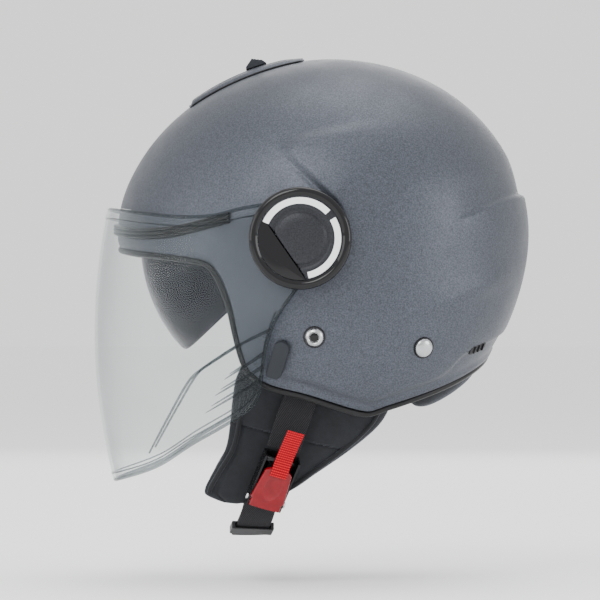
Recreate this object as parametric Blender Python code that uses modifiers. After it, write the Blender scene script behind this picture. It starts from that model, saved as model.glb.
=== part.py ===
"""Open face motorcycle helmet with a clear face shield, a drop-down sun visor and a ratchet chin buckle.

The origin is the centre of the wearer's head. -X is forwards, +Z is up, and the wearer's left is -Y.
"""

import math

import bmesh
import bpy
from mathutils import Matrix, Vector

# Outer skin of the shell: reach from the head's centre in each direction.
SHELL_FRONT = 0.142
SHELL_REAR = 0.1315
SHELL_HALF = 0.118
SHELL_UP = 0.1176
SHELL_DOWN = 0.138
SHELL_WALL = 0.004
SIDE_POWER = 3.5  # how upright the cheeks stand below the head's centre

# Gaps between pieces.
SEAT = 0.0004
LINER_GAP = 0.0016
PAD_GAP = 0.0024  # between the impact liner and the comfort liner, whose facets differ
SKIN_GAP = 0.0010  # between the shell's facets and what is shaped to them
TURN_GAP = 0.0004

# Impact liner and comfort liner: thickness at the front, rear, side and top.
EPS_FRONT = 0.016
EPS_REAR = 0.027
EPS_SIDE = 0.016
EPS_TOP = 0.027
COMFORT = 0.005
SUN_POCKET = 0.019  # room in front of the impact liner, where the sun visor parks
SIDE_POCKET = 0.016  # room beside it for the hub of the sun visor

# Rims as (azimuth from the front in degrees, height), from the brow round the cheek to the nape.
SHELL_RIM = (
    (0, -0.007), (30, -0.012), (46, -0.016), (51, -0.0195), (54, -0.027), (56.5, -0.038), (58.5, -0.052),
    (61, -0.084), (63.5, -0.092), (68, -0.098), (80, -0.104), (104, -0.116), (113, -0.112), (133, -0.101),
    (160, -0.085), (180, -0.078),
)
EPS_RIM = ((0, 0.0), (48, -0.004), (62, -0.03), (105, -0.034), (132, -0.058), (180, -0.056))
COMFORT_RIM = ((0, 0.001), (48, -0.002), (62, -0.024), (105, -0.03), (132, -0.05), (180, -0.05))

# Hinge axis of both visors, along Y.
PIVOT_X = -0.020
PIVOT_Z = -0.004
SCREW_R = 0.0025
BOSS_R = 0.007
PLINTH_R = 0.024
PLINTH_RISE = 0.0028
COVER_R = 0.033
COVER_RISE = 0.0055
TAB_CHORD = 0.0117
TAB_OUTER = 0.0275
TAB_TURN = 34.7

# Clear face shield.
SHIELD_WALL = 0.002
SHIELD_AHEAD = 0.0155  # how far it stands in front of the shell
SHIELD_REACH = SHELL_FRONT + SHIELD_AHEAD
SHIELD_CLEAR = 0.0085
SHIELD_POWER = 2.4
EAR_R = 0.029
SHIELD_TOP = ((-0.158, 0.017), (-0.109, 0.0107), (-0.082, 0.0107), (-0.060, 0.0155), (-0.042, 0.0185))
SHIELD_LOW = (
    (-0.158, -0.164), (-0.122, -0.153), (-0.095, -0.138), (-0.068, -0.1235), (-0.054, -0.114),
    (-0.0475, -0.105), (-0.0455, -0.095), (-0.0440, -0.082), (-0.0400, -0.066), (-0.0335, -0.052),
    (-0.020, -0.033),
)

# Sun visor, turned about the hinge axis, so that it parks in its own surface.
SUN_BEHIND = 0.011  # room between it and the inside of the shell in front
SUN_BESIDE = 0.007  # and at the side
SUN_R = SHELL_FRONT + PIVOT_X - SHELL_WALL - SUN_BEHIND
SUN_HALF = SHELL_HALF - SHELL_WALL - SUN_BESIDE
SUN_WALL = 0.0018
SUN_LOW = -44
SUN_HIGH = 4
HUB_R = 0.0093
HUB_LONG = 0.005
NUT_THICK = 0.0024

# Chin strap and ratchet buckle.
STRAP_WIDTH = 0.022
STRAP_THICK = 0.0018
BUCKLE_LONG = 0.038
BUCKLE_WIDE = 0.024
BUCKLE_WALL = 0.0012
BUCKLE_HIGH = 0.0105
BARREL_R = 0.0032
PIN_R = 0.0014
LEVER_THICK = 0.0026
RIBBON_WIDE = 0.0115
RIBBON_LONG = 0.029
STRAP_ROUTE = (
    (-0.011, -0.1015, -0.066), (-0.014, -0.098, -0.085), (-0.019, -0.0900, -0.105),
    (-0.026, -0.0835, -0.125), (-0.031, -0.0780, -0.141), (-0.0385, -0.0705, -0.159),
    (-0.046, -0.0600, -0.177), (-0.049, -0.0500, -0.1875), (-0.052, -0.036, -0.1945),
    (-0.054, -0.018, -0.1985), (-0.055, 0.0, -0.200),
)
BUCKLE_TOP = 4  # the route's points at the buckle's two ends
BUCKLE_END = 6

# Cheek pad sections as (height, front, rear, inner half-width, outer half-width).
PAD_SECTIONS = (
    (-0.040, -0.050, 0.036, 0.074, 0.088), (-0.050, -0.057, 0.044, 0.072, 0.092),
    (-0.080, -0.056, 0.048, 0.070, 0.0900), (-0.095, -0.062, 0.044, 0.068, 0.0865),
    (-0.110, -0.0645, 0.040, 0.065, 0.0810), (-0.125, -0.066, 0.032, 0.061, 0.0760),
    (-0.141, -0.069, 0.014, 0.056, 0.0725), (-0.158, -0.078, -0.010, 0.050, 0.0645),
    (-0.170, -0.083, -0.028, 0.045, 0.057), (-0.176, -0.078, -0.046, 0.044, 0.054),
)

# Padded roll round the nape.
ROLL_R = 0.0105
ROLL_GAP = 0.0045
ROLL_DROP = 0.004
ROLL_START = 128  # azimuth of its front end in degrees

RIVET_R = 0.0062
RIVET_ABOVE = 0.0008  # its head off the shell
RIVET_UNDER = 0.0030  # its flange off the inside, which is faceted
RIVET_PLACES = (("front", -0.0109, -0.0675), ("rear", 0.060, -0.0745))
SIDES = (("left", -1), ("right", 1))


def clear_scene():
    """Removes what is in the scene and makes the two collections."""
    for item in list(bpy.data.objects):
        bpy.data.objects.remove(item)
    made = []
    for name in ("open_face_helmet", "cutters"):
        group = bpy.data.collections.new(name)
        bpy.context.scene.collection.children.link(group)
        made.append(group)
    return made


PARTS, CUTTERS = clear_scene()


def material(name, color, roughness, metallic=0.0, alpha=1.0):
    """A plain Principled material."""
    made = bpy.data.materials.new(name)
    made.use_nodes = True
    shader = made.node_tree.nodes["Principled BSDF"]
    shader.inputs["Base Color"].default_value = (*color, 1.0)
    shader.inputs["Roughness"].default_value = roughness
    shader.inputs["Metallic"].default_value = metallic
    shader.inputs["Alpha"].default_value = alpha
    return made


def paint(part, color, roughness, metallic=0.0, alpha=1.0):
    """Gives a part its own material."""
    part.data.materials.clear()
    part.data.materials.append(material(part.name + "_finish", color, roughness, metallic, alpha))
    return part


def from_bmesh(name, work, group=None):
    """A new object from a finished bmesh, shaded smooth but for its sharp edges."""
    mesh = bpy.data.meshes.new(name)
    work.to_mesh(mesh)
    work.free()
    mesh.shade_smooth()
    mesh.set_sharp_from_angle(angle=math.radians(40))
    made = bpy.data.objects.new(name, mesh)
    (group or PARTS).objects.link(made)
    return made


def through(points, x):
    """Smooth height at x of a line through points whose first numbers rise, by cubic Hermite spans."""
    if x <= points[0][0]:
        return points[0][1]
    if x >= points[-1][0]:
        return points[-1][1]
    i = next(k for k in range(len(points) - 1) if points[k + 1][0] >= x)
    span = points[i + 1][0] - points[i][0]

    def slope(k):
        lo, hi = max(k - 1, 0), min(k + 1, len(points) - 1)
        return (points[hi][1] - points[lo][1]) / (points[hi][0] - points[lo][0])

    t = (x - points[i][0]) / span
    a, b = points[i][1], points[i + 1][1]
    m, n = slope(i) * span, slope(i + 1) * span
    rise, fall = ((2 * t - 3) * t * t + 1) * a, (3 - 2 * t) * t * t * b
    return rise + ((t - 2) * t + 1) * t * m + fall + (t - 1) * t * t * n


def stations(spans):
    """Values from one end to the other, given as (start, number of steps) and a last (end, 0)."""
    made = []
    for (start, steps), (end, _) in zip(spans, spans[1:]):
        made += [start + (end - start) * k / steps for k in range(steps)]
    return made + [spans[-1][0]]


def skin(sizes, azimuth, polar):
    """Point of a helmet-shaped skin at an azimuth from the front and an angle down from the crown."""
    front, rear, half, up, down = sizes
    ray = Vector((-math.cos(azimuth) * math.sin(polar), -math.sin(azimuth) * math.sin(polar), math.cos(polar)))
    power = 1.9 if ray.x < 0 else 2.05
    power = power if ray.z > 0 else 2.0
    along = abs(ray.x) / (front if ray.x < 0 else rear)
    tall = abs(ray.z) / (up if ray.z > 0 else down)
    wide = abs(ray.y) / half
    side = 2.0 if ray.z > 0 else SIDE_POWER
    ring = (wide ** side + tall ** side) ** (1 / side)
    return ray / (along ** power + ring ** power) ** (1 / power)


def polar_at_height(sizes, azimuth, height):
    """Angle down from the crown at which the skin reaches a height, by halving."""
    low, high = 0.0, math.pi
    for _ in range(40):
        middle = (low + high) / 2
        if skin(sizes, azimuth, middle).z > height:
            low = middle
        else:
            high = middle
    return low


def inset(sizes, by):
    """Sizes of a skin that lies inside another by the given amounts: front, rear, side and top."""
    front, rear, half, up, down = sizes
    return front - by[0], rear - by[1], half - by[2], up - by[3], down - by[3]


SHELL = (SHELL_FRONT, SHELL_REAR, SHELL_HALF, SHELL_UP, SHELL_DOWN)
EPS_OUT = inset(SHELL, (
    SHELL_WALL + SUN_POCKET, SHELL_WALL + LINER_GAP, SHELL_WALL + SIDE_POCKET, SHELL_WALL + LINER_GAP))
EPS_IN = inset(EPS_OUT, (EPS_FRONT, EPS_REAR, EPS_SIDE, EPS_TOP))
PAD_OUT = inset(EPS_IN, (PAD_GAP,) * 4)
PAD_IN = inset(PAD_OUT, (COMFORT, COMFORT, COMFORT, COMFORT))


def side_point(x, z, side, off=0.0):
    """Point on the shell's side at x and z, its outward normal, moved off along the normal."""
    def depth(px, pz):
        along = abs(px) / (SHELL_FRONT if px < 0 else SHELL_REAR)
        tall = abs(pz) / (SHELL_UP if pz > 0 else SHELL_DOWN)
        power = 2.0 if pz <= 0 else (1.9 if px < 0 else 2.05)
        bend = SIDE_POWER if pz <= 0 else 2.0
        ring = (1 - along ** power) ** (1 / power)
        return SHELL_HALF * (ring ** bend - tall ** bend) ** (1 / bend)

    step = 0.001
    slope_x = (depth(x + step, z) - depth(x - step, z)) / (2 * step)
    slope_z = (depth(x, z + step) - depth(x, z - step)) / (2 * step)
    normal = Vector((-slope_x, side, -slope_z)).normalized()
    return Vector((x, side * depth(x, z), z)) + normal * off, normal


def grid(name, columns, rows, place, outward=None, weld=True):
    """A grid whose corner i, j is moved to place(i, j). Faces turn away from the point outward."""
    work = bmesh.new()
    bmesh.ops.create_grid(work, x_segments=columns, y_segments=rows, size=0.5)
    for vertex in work.verts:
        i = round((vertex.co.x + 0.5) * columns)
        j = round((vertex.co.y + 0.5) * rows)
        vertex.co = place(i, j)
    if weld:
        bmesh.ops.remove_doubles(work, verts=work.verts, dist=0.00005)
        thin = [face for face in work.faces if face.calc_area() < 1e-12]
        bmesh.ops.delete(work, geom=thin, context="FACES_ONLY")
    if outward is None:
        bmesh.ops.recalc_face_normals(work, faces=work.faces)
    else:
        facing = sum(face.normal.dot(face.calc_center_median() - outward) for face in work.faces)
        if facing < 0:
            bmesh.ops.reverse_faces(work, faces=work.faces)
    return from_bmesh(name, work)


def thicken(part, wall, offset=-1.0):
    """Gives an open surface its wall."""
    solid = part.modifiers.new("wall", "SOLIDIFY")
    solid.thickness = wall
    solid.offset = offset
    solid.use_even_offset = True
    return part


def bevel(part, width, segments=2):
    """Rounds the sharp edges of a part."""
    round_off = part.modifiers.new("round", "BEVEL")
    round_off.width = width
    round_off.segments = segments
    round_off.limit_method = "ANGLE"
    round_off.angle_limit = math.radians(40)
    return part


def baked(part):
    """Turns a part's modifiers or curve into a plain mesh, with the caps welded."""
    bpy.context.view_layer.update()
    seen = part.evaluated_get(bpy.context.evaluated_depsgraph_get())
    mesh = bpy.data.meshes.new_from_object(seen)
    work = bmesh.new()
    work.from_mesh(mesh)
    bmesh.ops.remove_doubles(work, verts=work.verts, dist=0.00001)
    bmesh.ops.recalc_face_normals(work, faces=work.faces)
    work.to_mesh(mesh)
    work.free()
    place = part.matrix_world.copy()
    name = part.name
    bpy.data.objects.remove(part)
    made = bpy.data.objects.new(name, mesh)
    made.matrix_world = place
    PARTS.objects.link(made)
    return made


def combine(part, tool, operation="DIFFERENCE"):
    """Cuts a part by a tool, or joins them."""
    for group in list(tool.users_collection):
        group.objects.unlink(tool)
    CUTTERS.objects.link(tool)
    tool.hide_render = True
    tool.display_type = "WIRE"
    cut = part.modifiers.new("cut", "BOOLEAN")
    cut.operation = operation
    cut.solver = "EXACT"
    cut.object = tool
    return part


def aim(origin, out, along=Vector((0, 0, 1))):
    """Matrix whose Z axis is out and whose Y axis is as near as can be to along."""
    z = Vector(out).normalized()
    x = Vector(along).cross(z).normalized()
    y = z.cross(x)
    turn = Matrix((x, y, z)).transposed().to_4x4()
    return Matrix.Translation(origin) @ turn


def cylinder(name, radius, low, high, place, sides=24, group=None):
    """A round bar along its own Z from low to high."""
    work = bmesh.new()
    bmesh.ops.create_cone(
        work, cap_ends=True, segments=sides, radius1=radius, radius2=radius, depth=high - low,
        matrix=Matrix.Translation((0, 0, (low + high) / 2)))
    made = from_bmesh(name, work, group)
    made.matrix_world = place
    return made


def block(name, size, centre, place, group=None):
    """A box of the given size about a centre, in a placed frame."""
    work = bmesh.new()
    scale = Matrix.Diagonal((*size, 1.0))
    bmesh.ops.create_cube(work, size=1.0, matrix=Matrix.Translation(centre) @ scale)
    made = from_bmesh(name, work, group)
    made.matrix_world = place
    return made


def turned(name, profile, place, steps=28):
    """A turned piece: the profile's points (radius, height) run from the top down the outer side."""
    work = bmesh.new()
    ring = [work.verts.new((radius, 0, height)) for radius, height in profile]
    closed = profile[0][0] > 0
    for first, second in zip(ring, ring[1:] + (ring[:1] if closed else [])):
        work.edges.new((first, second))
    made = from_bmesh(name, work)
    made.matrix_world = place
    screw = made.modifiers.new("turn", "SCREW")
    screw.steps = steps
    screw.render_steps = steps
    screw.use_merge_vertices = True
    screw.merge_threshold = 0.00001
    return made


def outline(name, points, thick, place):
    """A flat piece: a closed outline in its own XY plane, extruded by half its thickness each way."""
    curve = bpy.data.curves.new(name, "CURVE")
    curve.dimensions = "2D"
    curve.fill_mode = "BOTH"
    curve.extrude = thick / 2
    line = curve.splines.new("POLY")
    line.points.add(len(points) - 1)
    for point, (x, y) in zip(line.points, points):
        point.co = (x, y, 0, 1)
    line.use_cyclic_u = True
    made = bpy.data.objects.new(name, curve)
    made.matrix_world = place
    PARTS.objects.link(made)
    return baked(made)


def tube(name, points, radius, cyclic=False, resolution=2):
    """A round bead along a line of points."""
    curve = bpy.data.curves.new(name, "CURVE")
    curve.dimensions = "3D"
    curve.bevel_depth = radius
    curve.bevel_resolution = resolution
    curve.use_fill_caps = not cyclic
    line = curve.splines.new("POLY")
    line.points.add(len(points) - 1)
    for point, where in zip(line.points, points):
        point.co = (*where, 1)
    line.use_cyclic_u = cyclic
    made = bpy.data.objects.new(name, curve)
    PARTS.objects.link(made)
    return baked(made)


def around():
    """Azimuths all the way round, closer together at the upright edge of the face opening."""
    half = stations(((0, 6), (46, 7), (68, 9), (180, 0)))
    full = half + [360 - angle for angle in reversed(half[:-1])]
    return [math.radians(angle) for angle in full]


def rim_height(rim, azimuth):
    """Height of a rim at an azimuth, the same on both sides."""
    degrees = math.degrees(azimuth) % 360
    return through(rim, min(degrees, 360 - degrees))


def side_axis(side, x, z):
    """Frame whose Z runs outwards along Y at a side, with its origin on the middle plane."""
    return aim(Vector((x, 0, z)), Vector((0, side, 0)))


def pivot_frame(side):
    return side_axis(side, PIVOT_X, PIVOT_Z)


def shell_layout():
    """Azimuths and rim angles of the shell's grid, and its number of rows."""
    turns = around()
    return turns, [polar_at_height(SHELL, angle, rim_height(SHELL_RIM, angle)) for angle in turns], 13


def make_shell():
    """The painted outer shell, open at the face and neck, with its rivet and hinge holes."""
    turns, ends, rows = shell_layout()

    def place(i, j):
        return skin(SHELL, turns[i], ends[i] * j / rows)

    shell = baked(thicken(grid("shell", len(turns) - 1, rows, place, Vector()), SHELL_WALL))
    for side_name, side in SIDES:
        hole = cylinder(
            "hinge_hole_" + side_name, SCREW_R + TURN_GAP, SHELL_HALF * 0.8, SHELL_HALF * 1.1,
            pivot_frame(side), 16, CUTTERS)
        combine(shell, hole)
        for label, x, z in RIVET_PLACES:
            spot, normal = side_point(x, z, side)
            hole = cylinder(
                "rivet_hole_" + label + side_name, 0.0030, -SHELL_WALL * 2, SHELL_WALL * 2,
                aim(spot, normal), 12, CUTTERS)
            combine(shell, hole)
    return paint(shell, (0.115, 0.125, 0.15), 0.42, 0.35)


def nested(name, outer, inner, rim, rows=9):
    """A closed bowl between two skins that end at one rim."""
    turns = [math.radians(angle) for angle in stations(((0, 32), (360, 0)))]
    heights = [rim_height(rim, angle) for angle in turns]
    out_end = [polar_at_height(outer, a, h) for a, h in zip(turns, heights)]
    in_end = [polar_at_height(inner, a, h) for a, h in zip(turns, heights)]

    def place(i, j):
        if j <= rows:
            return skin(outer, turns[i], out_end[i] * j / rows)
        return skin(inner, turns[i], in_end[i] * (2 * rows + 1 - j) / rows)

    return grid(name, len(turns) - 1, 2 * rows + 1, place)


def make_liners():
    """Foam impact liner and the padded comfort liner inside it."""
    paint(nested("impact_liner", EPS_OUT, EPS_IN, EPS_RIM), (0.03, 0.03, 0.03), 0.9)
    paint(nested("crown_pad", PAD_OUT, PAD_IN, COMFORT_RIM), (0.02, 0.02, 0.025), 0.95)


def make_edge_trim():
    """Rubber bead that runs round the whole rim of the shell, just below it."""
    radius = 0.0021
    middle = inset(SHELL, (SHELL_WALL / 2,) * 4)
    points = []
    for angle in around()[:-1]:
        end = polar_at_height(middle, angle, rim_height(SHELL_RIM, angle))
        here = skin(middle, angle, end)
        down = (here - skin(middle, angle, end - 0.01)).normalized()
        points.append((here, down))
    line = []
    for k, (here, down) in enumerate(points):
        chord = (points[(k + 1) % len(points)][0] - points[k - 1][0]).normalized()
        away = (down - chord * down.dot(chord)).normalized()
        line.append(here + away * (radius + SEAT * 2.5))
    paint(tube("edge_trim", line, radius, cyclic=True, resolution=1), (0.012, 0.012, 0.014), 0.5)


def make_brow_seal(body):
    """Rubber strip across the brow, from hinge to hinge, that the face shield closes on."""
    reach, tall, thick = 58, 0.0075, 0.0032
    line = ((0, 0.004), (25, 0.000), (40, 0.0015), (58, 0.010))
    turns = stations(((-reach, 28), (reach, 0)))

    def place(i, j):
        angle = math.radians(turns[i])
        height = through(line, abs(turns[i])) + tall * (j / 2 - 0.5)
        spot = skin(SHELL, angle, polar_at_height(SHELL, angle, height))
        return spot * (1 + (thick + SEAT) / spot.length)

    seal = baked(thicken(grid("brow_seal", len(turns) - 1, 2, place, Vector()), thick))
    paint(combine(seal, body), (0.01, 0.01, 0.012), 0.3)


def shield_reach(z):
    """How far forwards the face shield stands at a height."""
    return SHIELD_REACH - 1.3 * (z + 0.065) ** 2


def shield_half(z):
    """Half-width of the face shield at a height: upright at the hinge, drawn in below."""
    drop = max(0.0, (-z - 0.010) / 0.120)
    return SHELL_HALF + SHIELD_CLEAR - 0.030 * drop * drop


def shield_edges(x):
    """Top and bottom of the face shield at x. Behind the hinge axis they follow the round ear."""
    ear = math.sqrt(max(EAR_R ** 2 - (x - PIVOT_X) ** 2, 0.0))
    if x > PIVOT_X:
        return PIVOT_Z + ear, PIVOT_Z - ear
    top = through(SHIELD_TOP + ((PIVOT_X, PIVOT_Z + EAR_R),), x)
    low = through(SHIELD_LOW, x)
    return top, min(low, PIVOT_Z - ear)


def make_shield():
    """The clear face shield, one curved sheet with a bored ear at each hinge."""
    turns = stations(((0, 6), (48, 5), (70, 9), (90, 0)))
    front = [-math.cos(math.radians(a)) ** (2 / SHIELD_POWER) * SHIELD_REACH for a in turns[:-1]]
    front = [x for x in front if x < PIVOT_X - 0.002] + [PIVOT_X]
    ear = [PIVOT_X + EAR_R * share for share in (0.3, 0.55, 0.75, 0.9, 0.98)]
    half = front + ear
    lines = [(x, -1) for x in reversed(half)] + [(x, 1) for x in half[1:]]
    rows = 9

    def place(i, j):
        x, side = lines[i]
        top, low = shield_edges(x)
        z = low + (top - low) * j / rows
        share = x / SHIELD_REACH
        y = shield_half(z) * (1 - min(abs(share), 1.0) ** SHIELD_POWER) ** (1 / SHIELD_POWER)
        return Vector((share * shield_reach(z), side * y, z))

    shield = grid("face_shield", len(lines) - 1, rows, place, Vector((0, 0, -0.06)))
    shield = baked(thicken(shield, SHIELD_WALL))
    for side_name, side in SIDES:
        hole = cylinder(
            "ear_hole_" + side_name, BOSS_R + TURN_GAP, SHELL_HALF, SHELL_HALF * 1.2,
            pivot_frame(side), 24, CUTTERS)
        combine(shield, hole)
    paint(shield, (0.9, 0.93, 0.93), 0.05, 0.0, 0.25)


def skin_cutter(name, off):
    """The shell's skin, grown by off and closed below, for cutting what is fitted to it."""
    grown = inset(SHELL, (-off,) * 4)
    turns, ends, rows = shell_layout()

    def place(i, j):
        if j > rows:
            return Vector((0, 0, -SHELL_DOWN))
        return skin(grown, turns[i], ends[i] * j / rows)

    body = grid(name, len(turns) - 1, rows + 1, place)
    PARTS.objects.unlink(body)
    CUTTERS.objects.link(body)
    return body


def make_hinge(side_name, side, body):
    """Plinth, screw, nut, cover and release tab of one hinge, all turned about its axis."""
    frame = pivot_frame(side)
    top = SHELL_HALF + PLINTH_RISE
    outside = SHELL_HALF + SHIELD_CLEAR
    boss_top = outside + SEAT
    bore = SCREW_R + SEAT
    plinth = turned("hinge_plinth_" + side_name, (
        (bore, boss_top), (BOSS_R, boss_top), (BOSS_R, top), (PLINTH_R, top),
        (PLINTH_R, SHELL_HALF * 0.9), (bore, SHELL_HALF * 0.9)), frame)
    paint(combine(plinth, body), (0.012, 0.012, 0.014), 0.35)
    head = 0.0026
    inner = SHELL_HALF - SHELL_WALL - SIDE_POCKET
    nut_top = hub_outer() - HUB_LONG - SEAT
    screw = turned("hinge_screw_" + side_name, (
        (0, boss_top + SEAT + head), (0.0042, boss_top + SEAT + head), (0.0048, boss_top + SEAT + head * 0.6),
        (0.0048, boss_top + SEAT), (SCREW_R, boss_top + SEAT), (SCREW_R, inner + 0.0005), (0, inner + 0.0005)),
        frame, 16)
    paint(screw, (0.6, 0.6, 0.6), 0.3, 1.0)
    nut = turned("hinge_nut_" + side_name, (
        (bore, nut_top), (0.0045, nut_top), (0.0045, nut_top - NUT_THICK), (bore, nut_top - NUT_THICK)),
        frame, 6)
    paint(nut, (0.6, 0.6, 0.6), 0.35, 1.0)
    make_cover(side_name, side, frame, outside + SEAT)


def make_cover(side_name, side, frame, base):
    """The round hinge cover, hollow behind, and the half-moon release tab that lies in it."""
    high = base + COVER_RISE
    cover = turned("hinge_cover_" + side_name, (
        (0, high - 0.0006), (0.0165, high - 0.0006), (0.0180, high - 0.0016), (0.0195, high - 0.0006),
        (0.0275, high - 0.0010), (0.0290, high), (0.0315, high - 0.0006), (COVER_R, high - 0.0025),
        (COVER_R, base), (COVER_R - 0.0022, base), (0.0290, base + 0.0034), (0, base + 0.0034)), frame, 36)
    cover = baked(cover)
    turn = math.radians(TAB_TURN)
    lower_front = Vector((-math.cos(turn), 0, -math.sin(turn)))
    tab_frame = aim(frame.translation, Vector((0, side, 0)), lower_front)
    # The tab is the part of a disc that lies beyond a chord, so a copy grown by the gap cuts its seat.
    def segment(name, grow, low, top):
        radius = TAB_OUTER + grow
        chord = TAB_CHORD - grow
        half = math.acos(chord / radius)
        points = [
            (radius * math.sin(-half + 2 * half * k / 14), radius * math.cos(-half + 2 * half * k / 14))
            for k in range(15)]
        middle = Matrix.Translation((0, 0, (low + top) / 2))
        return outline(name, points, top - low, tab_frame @ middle)

    combine(cover, segment("tab_seat_" + side_name, SEAT, base - 0.001, high + 0.001))
    paint(cover, (0.03, 0.032, 0.037), 0.25)
    tab = bevel(segment("release_tab_" + side_name, -SEAT / 2, base + 0.0022, high - 0.0014), 0.0005, 1)
    paint(tab, (0.006, 0.006, 0.007), 0.08)


def sun_radius(y):
    """Distance of the sun visor from the hinge axis at y."""
    return SUN_R * math.sqrt(max(1 - (y / SUN_HALF) ** 2, 0.0))


def sun_reach():
    """Largest angle across the sun visor, in degrees, at which it is still clear of its hubs."""
    return math.degrees(math.acos((HUB_R + SUN_WALL + 0.0012) / SUN_R))


def hub_outer():
    """Outer face of a hub of the sun visor, measured from the middle plane."""
    return SUN_HALF * math.sin(math.radians(sun_reach()))


def make_sun_visor():
    """The tinted sun visor, a slice of a body turned about the hinge axis, and its two hubs."""
    turns = stations(((-sun_reach(), 26), (sun_reach(), 0)))
    rows = 6

    def place(i, j):
        y = SUN_HALF * math.sin(math.radians(turns[i]))
        radius = sun_radius(y)
        angle = math.radians(SUN_LOW + (SUN_HIGH - SUN_LOW) * j / rows)
        return Vector((PIVOT_X - radius * math.cos(angle), y, PIVOT_Z + radius * math.sin(angle)))

    visor = thicken(grid("sun_visor", len(turns) - 1, rows, place, Vector((PIVOT_X, 0, PIVOT_Z))), SUN_WALL)
    paint(visor, (0.05, 0.05, 0.07), 0.08, 0.0, 0.6)
    outer = hub_outer()
    bore = SCREW_R + TURN_GAP
    for side_name, side in SIDES:
        hub = turned("sun_visor_hub_" + side_name, (
            (bore, outer), (HUB_R, outer), (HUB_R, outer - HUB_LONG), (bore, outer - HUB_LONG)),
            pivot_frame(side), 24)
        paint(hub, (0.02, 0.02, 0.022), 0.5)


def make_sun_lever():
    """The slide on the lower left of the shell that raises and lowers the sun visor."""
    spot, normal = side_point(-0.0335, -0.0815, -1, SEAT)
    frame = aim(spot, normal, Vector((0.34, 0, 0.94)))
    points = (
        (-0.0045, -0.0125), (0.0035, -0.0125), (0.0052, -0.009), (0.0052, 0.009), (0.0035, 0.0125),
        (-0.0015, 0.0135), (-0.0052, 0.0105), (-0.0052, -0.010))
    lever = outline("sun_visor_lever", points, 0.0048, frame @ Matrix.Translation((0, 0, 0.0032)))
    paint(bevel(lever, 0.0012), (0.013, 0.014, 0.017), 0.55)


def crown_point(x, y, off):
    """Point on the crown above x and y, moved off along the ray from the head's centre."""
    azimuth = math.atan2(-y, -x)
    low, high = 0.0, math.pi / 2
    for _ in range(40):
        middle = (low + high) / 2
        if skin(SHELL, azimuth, middle).to_2d().length < math.hypot(x, y):
            low = middle
        else:
            high = middle
    spot = skin(SHELL, azimuth, low)
    return spot * (1 + off / spot.length)


def make_top_vent():
    """Raised intake cowl on the crown and the ribbed slide that opens it."""
    rear, front, half, rise = -0.018, -0.093, 0.023, 0.0022
    columns, rows = 12, 8

    def place(i, j):
        x = front + (rear - front) * i / columns
        swell = 0.55 + 0.45 * math.sin(math.pi * (0.15 + 0.85 * i / columns) / 1.15)
        y = half * swell * (2 * j / rows - 1)
        return crown_point(x, y, SEAT * 1.5 + rise)

    cowl = thicken(grid("top_vent_cowl", columns, rows, place, Vector()), rise)
    paint(cowl, (0.10, 0.11, 0.13), 0.45, 0.3)
    x = -0.0480
    top = crown_point(x, 0, rise + SEAT * 3)
    ahead = (crown_point(x + 0.004, 0, 0) - crown_point(x - 0.004, 0, 0)).normalized()
    frame = aim(top, Vector((0, 1, 0)).cross(-ahead), ahead)
    points = [(0.0072, 0.0), (-0.0072, 0.0), (-0.0066, 0.0018), (-0.0020, 0.0052)]
    for k in range(4):
        points += [(-0.0012 + 0.0019 * k, 0.0060 - 0.0009 * k), (-0.0002 + 0.0019 * k, 0.0050 - 0.0009 * k)]
    turn = frame @ Matrix.Rotation(math.radians(90), 4, "Z") @ Matrix.Rotation(math.radians(90), 4, "X")
    knob = outline("top_vent_slide", points, 0.018, turn)
    paint(knob, (0.015, 0.015, 0.017), 0.6)


def make_rear_vents():
    """Slim exhaust grilles set on the shell above the nape."""
    for side_name, side in SIDES:
        spot, normal = side_point(0.0955, -0.0760, side, SEAT * 1.5)
        frame = aim(spot, normal, Vector((0.25, 0, 1)))
        vent = block("rear_vent_" + side_name, (0.0150, 0.0042, 0.0016), (0, 0, 0.0008), frame)
        paint(bevel(vent, 0.0005), (0.01, 0.01, 0.01), 0.6)


def make_rivets():
    """The rivets that anchor the chin strap's webbing through the shell."""
    for side_name, side in SIDES:
        for label, x, z in RIVET_PLACES:
            spot, normal = side_point(x, z, side)
            above, under = RIVET_ABOVE, SHELL_WALL + RIVET_UNDER
            rivet = turned("strap_rivet_" + label + "_" + side_name, (
                (0, above + 0.0020), (0.0030, above + 0.0018), (0.0052, above + 0.0011),
                (RIVET_R, above + SEAT), (RIVET_R, above), (0.0024, above), (0.0024, -under), (0.0048, -under),
                (0.0048, -under - 0.0012), (0, -under - 0.0012)), aim(spot, normal), 18)
            paint(rivet, (0.55, 0.56, 0.58), 0.25, 1.0)


def make_cheek_pad(side_name, side):
    """A thick pad from inside the shell down past the jaw, as rounded sections stacked by height."""
    around_steps, layers = 20, 14
    heights = [section[0] for section in PAD_SECTIONS]
    tables = [
        tuple((-section[0], section[k]) for section in PAD_SECTIONS)
        for k in range(1, 5)]

    def place(i, j):
        share = j / layers
        z = heights[0] + (heights[-1] - heights[0]) * share
        front, rear, inner, outer = (through(table, -z) for table in tables)
        size = 1.0 if 0 < j < layers else 0.0
        if j in (0, layers):
            z += 0.003 if j == 0 else -0.002
        angle = 2 * math.pi * i / around_steps
        power = 0.5
        c = math.copysign(abs(math.cos(angle)) ** power, math.cos(angle))
        s = math.copysign(abs(math.sin(angle)) ** power, math.sin(angle))
        x = (front + rear) / 2 + size * c * (rear - front) / 2
        y = (inner + outer) / 2 + size * s * (outer - inner) / 2
        return Vector((x, side * y, z))

    pad = grid("cheek_pad_" + side_name, around_steps, layers, place)
    paint(pad, (0.018, 0.02, 0.026), 0.85)


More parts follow.
